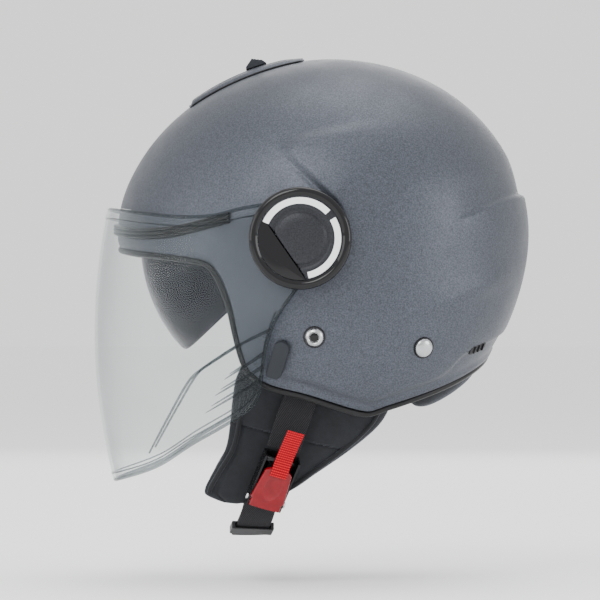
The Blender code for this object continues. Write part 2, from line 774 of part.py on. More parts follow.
def make_neck_roll():
    """Padded roll just inside the rim round the nape, so that the neck's way in stays clear."""
    inwards = SHELL_WALL + ROLL_R + ROLL_GAP
    line = []
    for k in range(19):
        azimuth = math.radians(ROLL_START + (180 - ROLL_START) * k / 9)
        height = rim_height(SHELL_RIM, azimuth)
        edge = skin(SHELL, azimuth, polar_at_height(SHELL, azimuth, height))
        level = Vector((edge.x, edge.y, 0)).normalized()
        line.append(edge - level * inwards - Vector((0, 0, ROLL_DROP)))
    paint(tube("neck_roll", line, ROLL_R, resolution=2), (0.03, 0.032, 0.036), 0.8)


def route(side):
    """The strap's route on one side, from the shell down to the middle under the chin."""
    return [Vector((x, -y if side > 0 else y, z)) for x, y, z in STRAP_ROUTE]


def web_out(spot):
    """Direction that the webbing's outer face looks at a point of its route."""
    return Vector((0, spot.y, spot.z + 0.100)).normalized()


def webbing(name, line, steps, width=STRAP_WIDTH, thick=STRAP_THICK, lift=0.0):
    """A flat strap along a line: its points are joined by smooth spans."""
    fine = []
    for k in range(len(line) - 1):
        before = line[max(k - 1, 0)]
        after = line[min(k + 2, len(line) - 1)]
        a, b = line[k], line[k + 1]
        for s in range(steps):
            t = s / steps
            fine.append(0.5 * (
                2 * a + (b - before) * t + (2 * before - 5 * a + 4 * b - after) * t * t
                + (3 * a - before - 3 * b + after) * t ** 3))
    fine.append(line[-1])

    def place(i, j):
        ahead = (fine[min(i + 1, len(fine) - 1)] - fine[max(i - 1, 0)]).normalized()
        out = web_out(fine[i])
        across = ahead.cross(out).normalized()
        face = across.cross(ahead)
        return fine[i] + across * width * (j / 2 - 0.5) + face * lift

    strap = grid(name, len(fine) - 1, 2, place, Vector((-0.03, 0, -0.10)))
    return thicken(strap, thick, 0.0)


def buckle_frame():
    """Frame of the buckle: X across the webbing, Y down along it, Z outwards."""
    line = route(-1)
    top, end = line[BUCKLE_TOP], line[BUCKLE_END]
    down = (end - top).normalized()
    middle = (top + end) / 2
    out = web_out(middle)
    out = (out - down * out.dot(down)).normalized()
    return aim(middle, out, down)


def make_straps():
    """Webbing on each side: the left one ends at the buckle, the right one passes under the chin."""
    left, right = route(-1), route(1)
    gap = 0.0024
    frame = buckle_frame()
    top = frame @ Vector((0, -BUCKLE_LONG / 2 - gap, 0.0006))
    end = frame @ Vector((0, BUCKLE_LONG / 2 + gap, 0.0012))
    paint(webbing("strap_left", left[:BUCKLE_TOP] + [top], 3), (0.012, 0.012, 0.014), 0.8)
    under = right + list(reversed(left[BUCKLE_END + 1:-1])) + [end]
    paint(webbing("strap_right", under, 3), (0.012, 0.012, 0.014), 0.8)


def make_buckle():
    """Steel channel, toothed strip, red lever on its pin and the red pull ribbon."""
    frame = buckle_frame()
    half, wall, high = BUCKLE_WIDE / 2, BUCKLE_WALL, BUCKLE_HIGH
    section = ((-half, 0), (half, 0), (half, high), (half - wall, high), (half - wall, wall), (wall - half, wall),
               (wall - half, high), (-half, high))
    along = frame @ Matrix.Rotation(math.radians(90), 4, "X")
    channel = outline("buckle_channel", section, BUCKLE_LONG, along)
    pin_y, pin_z = BUCKLE_LONG / 2 - 0.005, 0.0080
    pin_line = frame @ Matrix.Translation((0, pin_y, pin_z)) @ Matrix.Rotation(math.radians(90), 4, "Y")
    combine(channel, cylinder("pin_holes", PIN_R + TURN_GAP, -half * 2, half * 2, pin_line, 16, CUTTERS))
    paint(channel, (0.03, 0.03, 0.033), 0.3, 0.8)
    paint(turned("buckle_pin", (
        (0, half + 0.0016), (0.0022, half + 0.0016), (0.0022, half + SEAT), (PIN_R, half + SEAT),
        (PIN_R, -half - SEAT), (0.0022, -half - SEAT), (0.0022, -half - 0.0016), (0, -half - 0.0016)), pin_line, 16),
        (0.75, 0.74, 0.72), 0.25, 1.0)
    lever_low = pin_z + BARREL_R - 0.0008
    top, foot = -BUCKLE_LONG / 2 + 0.006, BUCKLE_LONG / 2 - 0.0015
    slim, step = half - wall - SEAT, pin_y - 0.002
    points = ((-0.0080, top), (0.0080, top), (0.0095, top + 0.002), (0.0114, step), (slim, step), (slim, foot),
              (-slim, foot), (-slim, step), (-0.0114, step), (-0.0095, top + 0.002))
    plate = Matrix.Translation((0, 0, max(lever_low, high + SEAT) + LEVER_THICK / 2))
    lever = bevel(outline("buckle_lever", points, LEVER_THICK, frame @ plate), 0.0006, 1)
    lever = baked(lever)
    inside = half - wall - SEAT
    barrel = cylinder("lever_barrel", BARREL_R, -inside, inside, pin_line, 20, CUTTERS)
    combine(lever, barrel, "UNION")
    combine(lever, cylinder("lever_bore", PIN_R + TURN_GAP, -half, half, pin_line, 16, CUTTERS))
    paint(lever, (0.28, 0.02, 0.025), 0.25)
    ribbon_at = Matrix.Translation((0, top - SEAT - RIBBON_LONG / 2, high + SEAT + LEVER_THICK / 2))
    ribbon = block("pull_ribbon", (RIBBON_WIDE, RIBBON_LONG, 0.0011), (0, 0, 0), frame @ ribbon_at)
    paint(ribbon, (0.75, 0.01, 0.02), 0.7)
    make_rack(frame)
    bar_at = Matrix.Translation((0, -BUCKLE_LONG / 2 + 0.004, 0.0055))
    bar_line = frame @ bar_at @ Matrix.Rotation(math.radians(90), 4, "Y")
    inside_bar = half - wall - SEAT
    paint(cylinder("buckle_roller", 0.0020, -inside_bar, inside_bar, bar_line, 16), (0.05, 0.05, 0.05), 0.3, 0.8)


def make_rack(frame):
    """Toothed strip on the free end of the webbing, lying in the channel under the lever."""
    low, wide, teeth, pitch = BUCKLE_WALL + SEAT, 0.0125, 9, 0.0030
    start = -BUCKLE_LONG / 2 + 0.007
    points = [(start, low), (start, low + 0.0012)]
    for k in range(teeth):
        here = start + pitch * k
        points += [(here + pitch * 0.85, low + 0.0022), (here + pitch, low + 0.0012)]
    points.append((start + pitch * teeth, low))
    turn = frame @ Matrix.Rotation(math.radians(90), 4, "Z") @ Matrix.Rotation(math.radians(90), 4, "X")
    paint(outline("toothed_strip", points, wide, turn), (0.02, 0.02, 0.022), 0.4)


def make_strap_slider():
    """Adjuster that the free webbing passes through, just past the buckle."""
    line = route(-1)
    spot = line[8]
    ahead = (line[9] - line[7]).normalized()
    out = web_out(spot)
    out = (out - ahead * out.dot(ahead)).normalized()
    frame = aim(spot, out, ahead)
    slider = block("strap_slider", (STRAP_WIDTH + 0.0060, 0.0130, 0.0052), (0, 0, 0), frame)
    slot = (STRAP_WIDTH + 0.0014, 0.03, STRAP_THICK + 0.0014)
    combine(slider, block("slider_slot", slot, (0, 0, 0), frame, CUTTERS))
    paint(slider, (0.014, 0.014, 0.016), 0.45)


def build():
    """Makes every piece of the helmet."""
    make_shell()
    make_liners()
    make_edge_trim()
    make_shield()
    body = skin_cutter("skin_body", SKIN_GAP)
    make_brow_seal(body)
    for side_name, side in SIDES:
        make_hinge(side_name, side, body)
        make_cheek_pad(side_name, side)
    make_sun_visor()
    make_sun_lever()
    make_top_vent()
    make_rear_vents()
    make_rivets()
    make_neck_roll()
    make_straps()
    make_buckle()
    make_strap_slider()


build()
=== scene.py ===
import math

import bmesh
import bpy
import numpy as np
from bpy.props import FloatProperty, FloatVectorProperty, IntProperty, PointerProperty
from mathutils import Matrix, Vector


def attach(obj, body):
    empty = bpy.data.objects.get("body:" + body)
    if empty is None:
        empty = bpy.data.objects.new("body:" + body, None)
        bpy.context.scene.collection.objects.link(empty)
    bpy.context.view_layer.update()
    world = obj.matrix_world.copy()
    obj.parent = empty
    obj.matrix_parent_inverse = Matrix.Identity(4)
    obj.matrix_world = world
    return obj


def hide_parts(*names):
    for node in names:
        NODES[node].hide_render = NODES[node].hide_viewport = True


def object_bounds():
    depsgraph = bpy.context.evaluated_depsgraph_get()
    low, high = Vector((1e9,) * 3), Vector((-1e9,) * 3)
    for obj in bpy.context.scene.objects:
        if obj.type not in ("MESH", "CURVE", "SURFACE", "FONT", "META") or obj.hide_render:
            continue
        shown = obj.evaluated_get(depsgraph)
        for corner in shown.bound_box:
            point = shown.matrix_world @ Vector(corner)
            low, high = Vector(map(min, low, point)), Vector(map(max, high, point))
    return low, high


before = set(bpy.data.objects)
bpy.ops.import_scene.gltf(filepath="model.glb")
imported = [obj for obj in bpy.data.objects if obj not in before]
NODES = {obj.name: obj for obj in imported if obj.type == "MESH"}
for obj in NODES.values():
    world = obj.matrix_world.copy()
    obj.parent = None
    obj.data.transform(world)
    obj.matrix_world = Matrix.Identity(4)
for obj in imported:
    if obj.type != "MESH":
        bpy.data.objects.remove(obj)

bl_info = {
    "name": "Open Face Helmet",
    "version": (1, 0, 0),
    "blender": (4, 5, 0),
    "location": "3D View > Sidebar > Helmet",
    "description": "Finished surfaces and materials for an open face motorcycle helmet",
    "category": "Object",
}

CAD_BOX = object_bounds()

# Outer skin of the shell, as the frame was drawn: -X forwards, +Z up, the wearer's left at -Y.
SHELL = (0.142, 0.1315, 0.118, 0.1176, 0.138)  # reach to the front, rear, side, crown and below
SHELL_WALL = 0.004
SIDE_POWER = 3.5
SHELL_RIM = (
    (0, -0.007), (30, -0.012), (46, -0.016), (51, -0.0195), (54, -0.027), (56.5, -0.038), (58.5, -0.052),
    (61, -0.084), (63.5, -0.092), (68, -0.098), (80, -0.104), (104, -0.116), (113, -0.112), (133, -0.101),
    (160, -0.085), (180, -0.078),
)
EPS_RIM = ((0, 0.0), (48, -0.004), (62, -0.03), (105, -0.034), (132, -0.058), (180, -0.056))
PAD_RIM = ((0, 0.001), (48, -0.002), (62, -0.024), (105, -0.03), (132, -0.05), (180, -0.05))
EPS_OUT_INSET = (0.023, 0.0056, 0.020, 0.0056)
EPS_INSET = (0.016, 0.027, 0.016, 0.027)
PAD_GAP = 0.0024
PAD_THICK = 0.005

# Hinge of the face shield and of the sun visor.
PIVOT = (-0.020, -0.004)
SHIELD_REACH = 0.1575
SHIELD_CLEAR = 0.0085
SHIELD_WALL = 0.002
SHIELD_POWER = 2.4
EAR_R = 0.029
COVER_BASE = SHELL[2] + SHIELD_CLEAR + 0.0004
COVER_RISE = 0.0055
COVER_R = 0.033
TAB_CHORD = 0.0117
TAB_OUTER = 0.0275
TAB_TURN = 34.7
SHIELD_TOP = ((-0.158, 0.017), (-0.109, 0.0107), (-0.082, 0.0107), (-0.060, 0.0155), (-0.042, 0.0185))
SHIELD_LOW = (
    (-0.158, -0.164), (-0.122, -0.153), (-0.095, -0.138), (-0.068, -0.1235), (-0.054, -0.114),
    (-0.0475, -0.105), (-0.0455, -0.095), (-0.0440, -0.082), (-0.0400, -0.066), (-0.0335, -0.052),
    (-0.020, -0.033),
)
SHIELD_RIDGES = (
    ((-0.0255, -0.0555), (-0.041, -0.0635), (-0.059, -0.0725), (-0.078, -0.0845), (-0.089, -0.0925),
     (-0.095, -0.1005), (-0.1005, -0.110), (-0.1085, -0.1245), (-0.1150, -0.1365), (-0.1190, -0.1440)),
    ((-0.041, -0.0765), (-0.069, -0.0950)),
    ((-0.042, -0.0855), (-0.075, -0.1055)),
    ((-0.044, -0.0945), (-0.0815, -0.1170)),
)

SUN_R = 0.107
SUN_HALF = 0.107
SUN_WALL = 0.0018
SUN_ANGLES = (-44, 4)
HUB_R = 0.0093

STRAP_WIDTH = 0.022
STRAP_THICK = 0.0018
STRAP_ROUTE = (
    (-0.011, -0.1015, -0.066), (-0.014, -0.098, -0.085), (-0.019, -0.0900, -0.105),
    (-0.026, -0.0835, -0.125), (-0.031, -0.0780, -0.141), (-0.0385, -0.0705, -0.159),
    (-0.046, -0.0600, -0.177), (-0.049, -0.0500, -0.1875), (-0.052, -0.036, -0.1945),
    (-0.054, -0.018, -0.1985), (-0.055, 0.0, -0.200),
)
BUCKLE_TOP = 4
BUCKLE_END = 6
BUCKLE_LONG = 0.038
BUCKLE_WIDE = 0.024
BUCKLE_WALL = 0.0012
BUCKLE_HIGH = 0.0105
BARREL_R = 0.0032
LEVER_THICK = 0.0026
RIBBON_WIDE = 0.0115
RIBBON_LONG = 0.029
SEAT = 0.0004

# Cheek pad sections as (height, front, rear, inner half-width, outer half-width).
PAD_SECTIONS = (
    (-0.040, -0.050, 0.036, 0.074, 0.088), (-0.050, -0.057, 0.044, 0.072, 0.092),
    (-0.080, -0.056, 0.048, 0.070, 0.0900), (-0.095, -0.062, 0.044, 0.068, 0.0865),
    (-0.110, -0.0645, 0.040, 0.065, 0.0810), (-0.125, -0.066, 0.032, 0.061, 0.0760),
    (-0.141, -0.069, 0.014, 0.056, 0.0725), (-0.158, -0.078, -0.010, 0.050, 0.0645),
    (-0.170, -0.083, -0.028, 0.045, 0.057), (-0.176, -0.078, -0.046, 0.044, 0.054),
)
CHEEK_SEAM = (
    (-0.068, -0.1225), (-0.060, -0.1246), (-0.0456, -0.1286), (-0.016, -0.136), (0.0054, -0.1407),
    (0.03, -0.145),
)

# Lines of the shell's relief in side view: the raised panel's top, the ledge round the back, and the
# height of the set-back band above the rim.
PANEL_TOP = ((-0.045, 0.054), (-0.0375, 0.0576), (0.0054, 0.0677), (0.043, 0.0744), (0.09, 0.070))
LEDGE = ((0.06, -0.003), (0.073, 0.0034), (0.1065, 0.0194), (0.128, 0.0258), (0.14, 0.027))
BAND_HEIGHT = (
    (-0.07, 0.0060), (0.055, 0.0062), (0.074, 0.0075), (0.087, 0.0175), (0.105, 0.0185), (0.14, 0.0150),
)
CREASE = ((-0.0375, 0.0576), (-0.0040, 0.0248))
EXHAUST = (0.0965, -0.0755)

# The shield draws back above and below its foremost height, and narrows towards the chin.
SHIELD_FOREMOST = -0.065
SHIELD_BOW = 1.3
SHIELD_NARROW = 0.030

# Stage: name, place, size and watts of each lamp, the sky's strength and what the camera looks at.
LAMPS = (
    ("key", (-0.7, -1.7, 1.5), 1.1, 26), ("front", (-2.0, -0.9, 0.5), 1.2, 14),
    ("crown", (0.3, 0.3, 2.2), 1.6, 26), ("rear", (1.9, -0.9, 0.4), 1.0, 14),
    ("back", (0.2, 2.2, 0.9), 1.4, 12),
)
SKY = 1.35
FLOOR_SIZE = 30
FLOOR_GAP = 0.03
VIEW_CENTRE = (-0.0201, 0, -0.0436)
SENSOR = 36
RIVETS = (("front", -0.0109, -0.0675), ("rear", 0.060, -0.0745))
SIDES = (("left", -1), ("right", 1))


# ---------------------------------------------------------------- surfaces as whole arrays

def ease(low, high, value):
    """0 below low, 1 above high and 3t^2 - 2t^3 between them."""
    share = np.clip((value - low) / (high - low), 0, 1)
    return share * share * (3 - 2 * share)


def through(points, x):
    """Height at x of a smooth line: cubic Hermite spans whose slopes join each point's neighbours."""
    known, height = np.array(points, float).T
    slope = np.gradient(height) / np.gradient(known)
    x = np.clip(x, known[0], known[-1])
    i = np.clip(np.searchsorted(known, x) - 1, 0, len(known) - 2)
    span = known[i + 1] - known[i]
    t = (x - known[i]) / span
    return (
        ((2 * t - 3) * t * t + 1) * height[i] + ((t - 2) * t + 1) * t * slope[i] * span
        + (3 - 2 * t) * t * t * height[i + 1] + (t - 1) * t * t * slope[i + 1] * span
    )


def inset(sizes, by):
    """Sizes of a skin inside another by the amounts at the front, rear, side and top."""
    return sizes[0] - by[0], sizes[1] - by[1], sizes[2] - by[2], sizes[3] - by[3], sizes[4] - by[3]


def skin(sizes, azimuth, polar):
    """Helmet-shaped skin: a ray from the head's centre, divided by a superellipse norm.

    The norm joins fore-and-aft reach with a ring of width and height. The ring is rounder above the
    centre than below it, and the reach's power eases from 2 at the centre's height to its crown value.
    """
    front, rear, half, up, down = sizes
    azimuth, polar = np.broadcast_arrays(azimuth, polar)
    ray = np.stack((-np.cos(azimuth) * np.sin(polar), -np.sin(azimuth) * np.sin(polar), np.cos(polar)), -1)
    ahead, above = ray[..., 0] < 0, ray[..., 2] > 0
    crown = np.where(ahead, 1.9, 2.05)
    power = 2 + (crown - 2) * ease(0, 0.35, ray[..., 2])
    side = np.where(above, 2.0, SIDE_POWER)
    along = np.abs(ray[..., 0]) / np.where(ahead, front, rear)
    wide = np.abs(ray[..., 1]) / half
    tall = np.abs(ray[..., 2]) / np.where(above, up, down)
    ring = (wide ** side + tall ** side) ** (1 / side)
    return ray / ((along ** power + ring ** power) ** (1 / power))[..., None]


def halved(reaches, azimuth):
    """Angle down from the crown, found by halving, up to which reaches(angle) is still false."""
    low, high = np.zeros_like(azimuth), np.full_like(azimuth, math.pi)
    for _ in range(36):
        middle = (low + high) / 2
        past = reaches(middle)
        low, high = np.where(past, low, middle), np.where(past, middle, high)
    return low


def polar_at(sizes, azimuth, height):
    """Angle down from the crown at which a skin comes down to a height."""
    return halved(lambda polar: skin(sizes, azimuth, polar)[..., 2] <= height, azimuth)


def rim_at(rim, azimuth):
    """Height of a rim at an azimuth, the same on both sides."""
    degrees = np.degrees(azimuth) % 360
    return through(rim, np.minimum(degrees, 360 - degrees))


def outward(points, wrap=True, centre=(0, 0, 0)):
    """Unit normals of a grid: the cross product of its two central differences, turned off the centre."""
    if wrap:
        across = np.roll(points, -1, 1) - np.roll(points, 1, 1)
    else:
        across = np.gradient(points, axis=1)
    normal = np.cross(across, np.gradient(points, axis=0))
    normal /= np.linalg.norm(normal, axis=-1, keepdims=True) + 1e-15
    return normal * np.where(np.sum(normal * (points - centre), -1, keepdims=True) < 0, -1, 1)


def near(line, x, z):
    """Distance of x, z from a broken line in side view, and the share of its length there."""
    knots = np.array(line, float)
    best, share, run = np.full(np.shape(x), 9.0), np.zeros(np.shape(x)), 0.0
    total = np.sum(np.linalg.norm(np.diff(knots, axis=0), axis=1))
    for (x0, z0), (x1, z1) in zip(knots, knots[1:]):
        length = math.hypot(x1 - x0, z1 - z0)
        t = np.clip(((x - x0) * (x1 - x0) + (z - z0) * (z1 - z0)) / length ** 2, 0, 1)
        gap = np.hypot(x - x0 - t * (x1 - x0), z - z0 - t * (z1 - z0))
        closer = gap < best
        best, share = np.where(closer, gap, best), np.where(closer, (run + t * length) / total, share)
        run += length
    return best, share


def shell_relief(points, azimuth, rise):
    """How far the painted shell stands off its plain skin, from side-view x and z and the run above its rim.

    A panel behind a straight crease over the hinge is raised and dies away to the rear. A ledge runs
    round the back. The lower rim has a set-back band, deeper behind, that ends in a thin lip.
    """
    x, z = points[..., 0], points[..., 2]
    start, end = CREASE
    run = math.hypot(end[0] - start[0], end[1] - start[1])
    ax, az = (end[0] - start[0]) / run, (end[1] - start[1]) / run
    off = (z - start[1]) * ax - (x - start[0]) * az
    share = ((x - start[0]) * ax + (z - start[1]) * az) / run
    span = ease(-0.02, 0.30, share) * (1 - ease(1.05, 1.5, share))
    top = z - through(PANEL_TOP, x)
    panel = ease(-0.0008, 0.0026, off) * (1 - ease(0.012, 0.075, off)) * (1 - ease(-0.005, 0.004, top))
    relief = 0.0021 * panel * span - 0.0013 * np.exp(-(off / 0.0021) ** 2) * span * ease(0.1, 0.9, share)
    ledge = z - through(LEDGE, x)
    behind = ease(0.070, 0.108, x)
    relief += behind * 0.0016 * (1 - ease(-0.0008, 0.0020, ledge)) * (1 - ease(0.02, 0.075, -ledge))
    relief -= behind * 0.0020 * ease(-0.0008, 0.0020, ledge) * (1 - ease(0.002, 0.032, ledge))
    fold = z + 0.048 - (x - 0.065) * 0.39
    relief += 0.0018 * np.exp(-(fold / 0.0075) ** 2) * ease(0.052, 0.080, x) * (1 - ease(0.100, 0.125, x))
    folded = np.degrees(azimuth) % 360
    neck = ease(60, 66, np.minimum(folded, 360 - folded))
    band = through(BAND_HEIGHT, x)
    relief -= 0.0021 * neck * (1 - ease(band, band + 0.0035, rise))
    relief += 0.0016 * neck * (1 - ease(0.0018, 0.0027, rise))
    return relief - 0.0009 * (1 - neck) * (1 - ease(0.0, 0.003, rise))


def side_depth(x, z):
    """Half-width of the shell's skin at x and z in side view."""
    along = abs(x) / (SHELL[0] if x < 0 else SHELL[1])
    tall = abs(z) / (SHELL[3] if z > 0 else SHELL[4])
    bend = SIDE_POWER if z <= 0 else 2.0
    ring = (1 - along ** 2) ** 0.5
    return SHELL[2] * (ring ** bend - tall ** bend) ** (1 / bend)


def side_frame(x, z, side, off=0.0, along=(0, 0, 1)):
    """Frame on the shell's side as a 4x4 array: Z outwards, Y as near as can be to along."""
    step = 0.001
    slope_x = (side_depth(x + step, z) - side_depth(x - step, z)) / (2 * step)
    slope_z = (side_depth(x, z + step) - side_depth(x, z - step)) / (2 * step)
    out = np.array((-slope_x, side, -slope_z))
    out /= np.linalg.norm(out)
    return aim(np.array((x, side * side_depth(x, z), z)) + out * off, out, along)


def aim(origin, out, along=(0, 0, 1)):
    """4x4 frame at origin: Z is out, and Y is as near as can be to along."""
    z = np.array(out, float) / np.linalg.norm(out)
    x = np.cross(along, z)
    x /= np.linalg.norm(x)
    made = np.eye(4)
    made[:3, 0], made[:3, 1], made[:3, 2], made[:3, 3] = x, np.cross(z, x), z, origin
    return made


def hinge_frame(side):
    """Frame of a hinge in side view: X rearwards, Y up and Z outwards from the middle plane."""
    made = np.zeros((4, 4))
    made[0, 0], made[2, 1], made[1, 2], made[3, 3] = 1, 1, side, 1
    made[0, 3], made[2, 3] = PIVOT
    return made


def placed(place, points):
    """Points taken from a frame to the world."""
    return points @ place[:3, :3].T + place[:3, 3]


def surface(name, points, wrap=False, sharp=35, cloth=None):
    """A mesh object of quads between the rows of a grid of points (rows, columns, 3).

    wrap joins the last column to the first. Rows that shrink to a point close an end. cloth is a
    matching grid of (across, along) in metres, kept as an attribute for weaves.
    """
    rows, columns = points.shape[:2]
    index = np.arange(rows * columns).reshape(rows, columns)
    if wrap:
        index = np.column_stack((index, index[:, 0]))
    quads = np.stack((index[:-1, :-1], index[:-1, 1:], index[1:, 1:], index[1:, :-1]), -1).reshape(-1, 4)
    mesh = bpy.data.meshes.new(name)
    mesh.from_pydata(points.reshape(-1, 3).tolist(), [], quads.tolist())
    if cloth is not None:
        flat = np.zeros((rows * columns, 3), np.float32)
        flat[:, :2] = cloth.reshape(-1, 2)
        mesh.attributes.new("cloth", "FLOAT_VECTOR", "POINT").data.foreach_set("vector", flat.ravel())
    work = bmesh.new()
    work.from_mesh(mesh)
    bmesh.ops.remove_doubles(work, verts=work.verts, dist=1e-6)
    bmesh.ops.dissolve_degenerate(work, edges=work.edges, dist=1e-7)
    bmesh.ops.recalc_face_normals(work, faces=work.faces)
    work.to_mesh(mesh)
    work.free()
    return smoothed(bpy.data.objects.new(name, mesh), sharp)


def smoothed(piece, sharp=35):
    """Links a piece, shaded smooth but for edges sharper than an angle."""
    piece.data.shade_smooth()
    piece.data.set_sharp_from_angle(angle=math.radians(sharp))
    if not piece.users_collection:
        bpy.context.scene.collection.objects.link(piece)
    return piece


def lathe(name, profile, place, steps=72, sharp=35):
    """A turned surface: profile points (radius, height) carried round the frame's Z axis."""
    radius, height = np.array(profile, float).T
    turn = np.linspace(0, 2 * math.pi, steps, endpoint=False)
    ring = np.stack((
        radius[:, None] * np.cos(turn), radius[:, None] * np.sin(turn),
        np.repeat(height[:, None], steps, 1)), -1)
    if profile[0][0] > 0:
        ring = np.concatenate((ring, ring[:1]))
    return surface(name, placed(place, ring), True, sharp)


def smooth_path(knots, steps):
    """Points along a smooth line through knots, by Catmull-Rom spans."""
    line = np.array(knots, float)
    ends = np.concatenate((line[:1], line, line[-1:]))
    t = np.linspace(0, 1, steps, endpoint=False)[:, None]
    spans = [
        0.5 * (2 * b + (c - a) * t + (2 * a - 5 * b + 4 * c - d) * t ** 2 + (3 * b - a - 3 * c + d) * t ** 3)
        for a, b, c, d in zip(ends, ends[1:], ends[2:], ends[3:])]
    return np.concatenate(spans + [line[-1:]])


def sweep(name, path, out, profile, closed=False, sharp=35, capped=True):
    """A profile (across, off) carried along a path: across is square to the path and to out."""
    if closed:
        ahead = np.roll(path, -1, 0) - np.roll(path, 1, 0)
    else:
        ahead = np.gradient(path, axis=0)
    ahead /= np.linalg.norm(ahead, axis=1, keepdims=True)
    across = np.cross(ahead, out)
    across /= np.linalg.norm(across, axis=1, keepdims=True)
    face = np.cross(across, ahead)
    profile = np.asarray(profile, float)
    if profile.ndim == 2:
        profile = np.repeat(profile[None], len(path), 0)
    grid = path[:, None] + across[:, None] * profile[..., :1] + face[:, None] * profile[..., 1:]
    run = np.concatenate(([0], np.cumsum(np.linalg.norm(np.diff(path, axis=0), axis=1))))
    cloth = np.stack((profile[..., 0], np.repeat(run[:, None], profile.shape[1], 1)), -1)
    if closed:
        grid, cloth = np.concatenate((grid, grid[:1])), np.concatenate((cloth, cloth[:1]))
    elif capped:
        ends = [np.repeat(g.mean(0, keepdims=True)[None], grid.shape[1], 1) for g in (grid[0], grid[-1])]
        grid = np.concatenate((ends[0], grid, ends[1]))
        cloth = np.concatenate((cloth[:1], cloth, cloth[-1:]))
    return surface(name, grid, True, sharp, cloth)


def bead(radius, steps=16):
    """Profile of a round bead."""
    turn = np.linspace(0, 2 * math.pi, steps, endpoint=False)
    return np.stack((radius * np.cos(turn), radius * np.sin(turn)), -1)


def band(width, thick, across=9, bulge=0.0):
    """Profile of a strap: a flat section with half-round selvedges, its faces bulged by an amount."""
    half = width / 2 - thick / 2
    x = np.linspace(-half, half, across)
    swell = bulge * (1 - (x / half) ** 2)
    turn = np.linspace(math.pi / 2, -math.pi / 2, 7)[1:-1]
    edge = np.stack((half + thick / 2 * np.cos(turn), thick / 2 * np.sin(turn)), -1)
    top = np.stack((x, thick / 2 + swell), -1)
    return np.concatenate((top, edge, top[::-1] * (1, -1), edge[::-1] * (-1, 1)))


def bowl(name, outer, inner, rim, columns, rows, quilt=None):
    """A closed bowl between two skins that end at one rim, its lip rounded.

    quilt presses lines into the inside.
    """
    azimuth = np.linspace(0, 2 * math.pi, columns, endpoint=False)
    height = rim_at(rim, azimuth)
    share = np.linspace(0.002, 1, rows)[:, None]
    out = skin(outer, azimuth[None], polar_at(outer, azimuth, height) * share)
    inside = skin(inner, azimuth[None], polar_at(inner, azimuth, height) * share)
    if quilt is not None:
        inside = inside - outward(inside) * quilt(azimuth[None], share)[..., None]
    turn = np.linspace(0, math.pi, 9)[1:-1, None, None]
    middle, reach = (out[-1] + inside[-1]) / 2, (out[-1] - inside[-1]) / 2
    thick = np.linalg.norm(reach, axis=-1, keepdims=True)
    lip = middle + reach * np.cos(turn) - np.array((0, 0, 1.0)) * thick * np.sin(turn) * 0.7
    poles = [np.repeat(g[0].mean(0)[None, None], columns, 1) for g in (out, inside)]
    return surface(name, np.concatenate((poles[0], out, lip, inside[::-1], poles[1])), True, 60)


def refined(node, name, width=0.0005, segments=3):
    """A copy of a frame solid with its triangles merged back into faces and its edges rounded."""
    mesh = NODES[node].data.copy()
    work = bmesh.new()
    work.from_mesh(mesh)
    bmesh.ops.remove_doubles(work, verts=work.verts, dist=1e-6)
    bmesh.ops.dissolve_limit(work, angle_limit=math.radians(2), verts=work.verts, edges=work.edges)
    work.to_mesh(mesh)
    work.free()
    mesh.materials.clear()
    piece = bpy.data.objects.new(name, mesh)
    bpy.context.scene.collection.objects.link(piece)
    edge = piece.modifiers.new("round", "BEVEL")
    edge.width, edge.segments, edge.angle_limit = width, segments, math.radians(38)
    edge.harden_normals = True
    return smoothed(piece, 38)


def prism(name, outline, low, high, place, round_off=0.0, steps=3):
    """An outline (x, y) in a frame, raised from low to high, its upper edge rounded by an offset inwards."""
    ring = np.array(outline, float)
    ahead = np.roll(ring, -1, 0) - np.roll(ring, 1, 0)
    inward = np.stack((-ahead[:, 1], ahead[:, 0]), -1) / np.linalg.norm(ahead, axis=1, keepdims=True)
    inward *= np.sign(np.sum(inward * (ring.mean(0) - ring)))
    turn = np.linspace(0, math.pi / 2, steps + 1)
    levels = [(0.0, low)]
    levels += [(round_off * (1 - math.cos(a)), high - round_off * (1 - math.sin(a))) for a in turn]
    rows = [np.column_stack((ring + inward * pull, np.full(len(ring), level))) for pull, level in levels]
    ends = [np.tile((*ring.mean(0), level), (len(ring), 1)) for level in (low, high)]
    return surface(name, placed(place, np.stack([ends[0]] + rows + [ends[1]])), True, 30)


def arc(radius, start, end, steps):
    """Points on a circle between two angles in degrees."""
    turn = np.radians(np.linspace(start, end, steps))
    return np.stack((radius * np.cos(turn), radius * np.sin(turn)), -1)


# ---------------------------------------------------------------- finishes

class Wire:
    """A node's output that takes part in sums: each operator, either way round, adds its Math node."""

    def __init__(self, finish, socket):
        self.finish, self.socket = finish, socket

    def sum(self, how, first, second):
        """A Math node of two values."""
        return self.finish.node("ShaderNodeMath", {"operation": how}, {0: first, 1: second})

    def __add__(self, other):
        return self.sum("ADD", self, other)

    def __sub__(self, other):
        return self.sum("SUBTRACT", self, other)

    def __rsub__(self, other):
        return self.sum("SUBTRACT", other, self)

    def __mul__(self, other):
        return self.sum("MULTIPLY", self, other)

    def __pow__(self, other):
        return self.sum("POWER", self, other)

    def __rpow__(self, other):
        return self.sum("POWER", other, self)

    __radd__ = __add__
    __rmul__ = __mul__


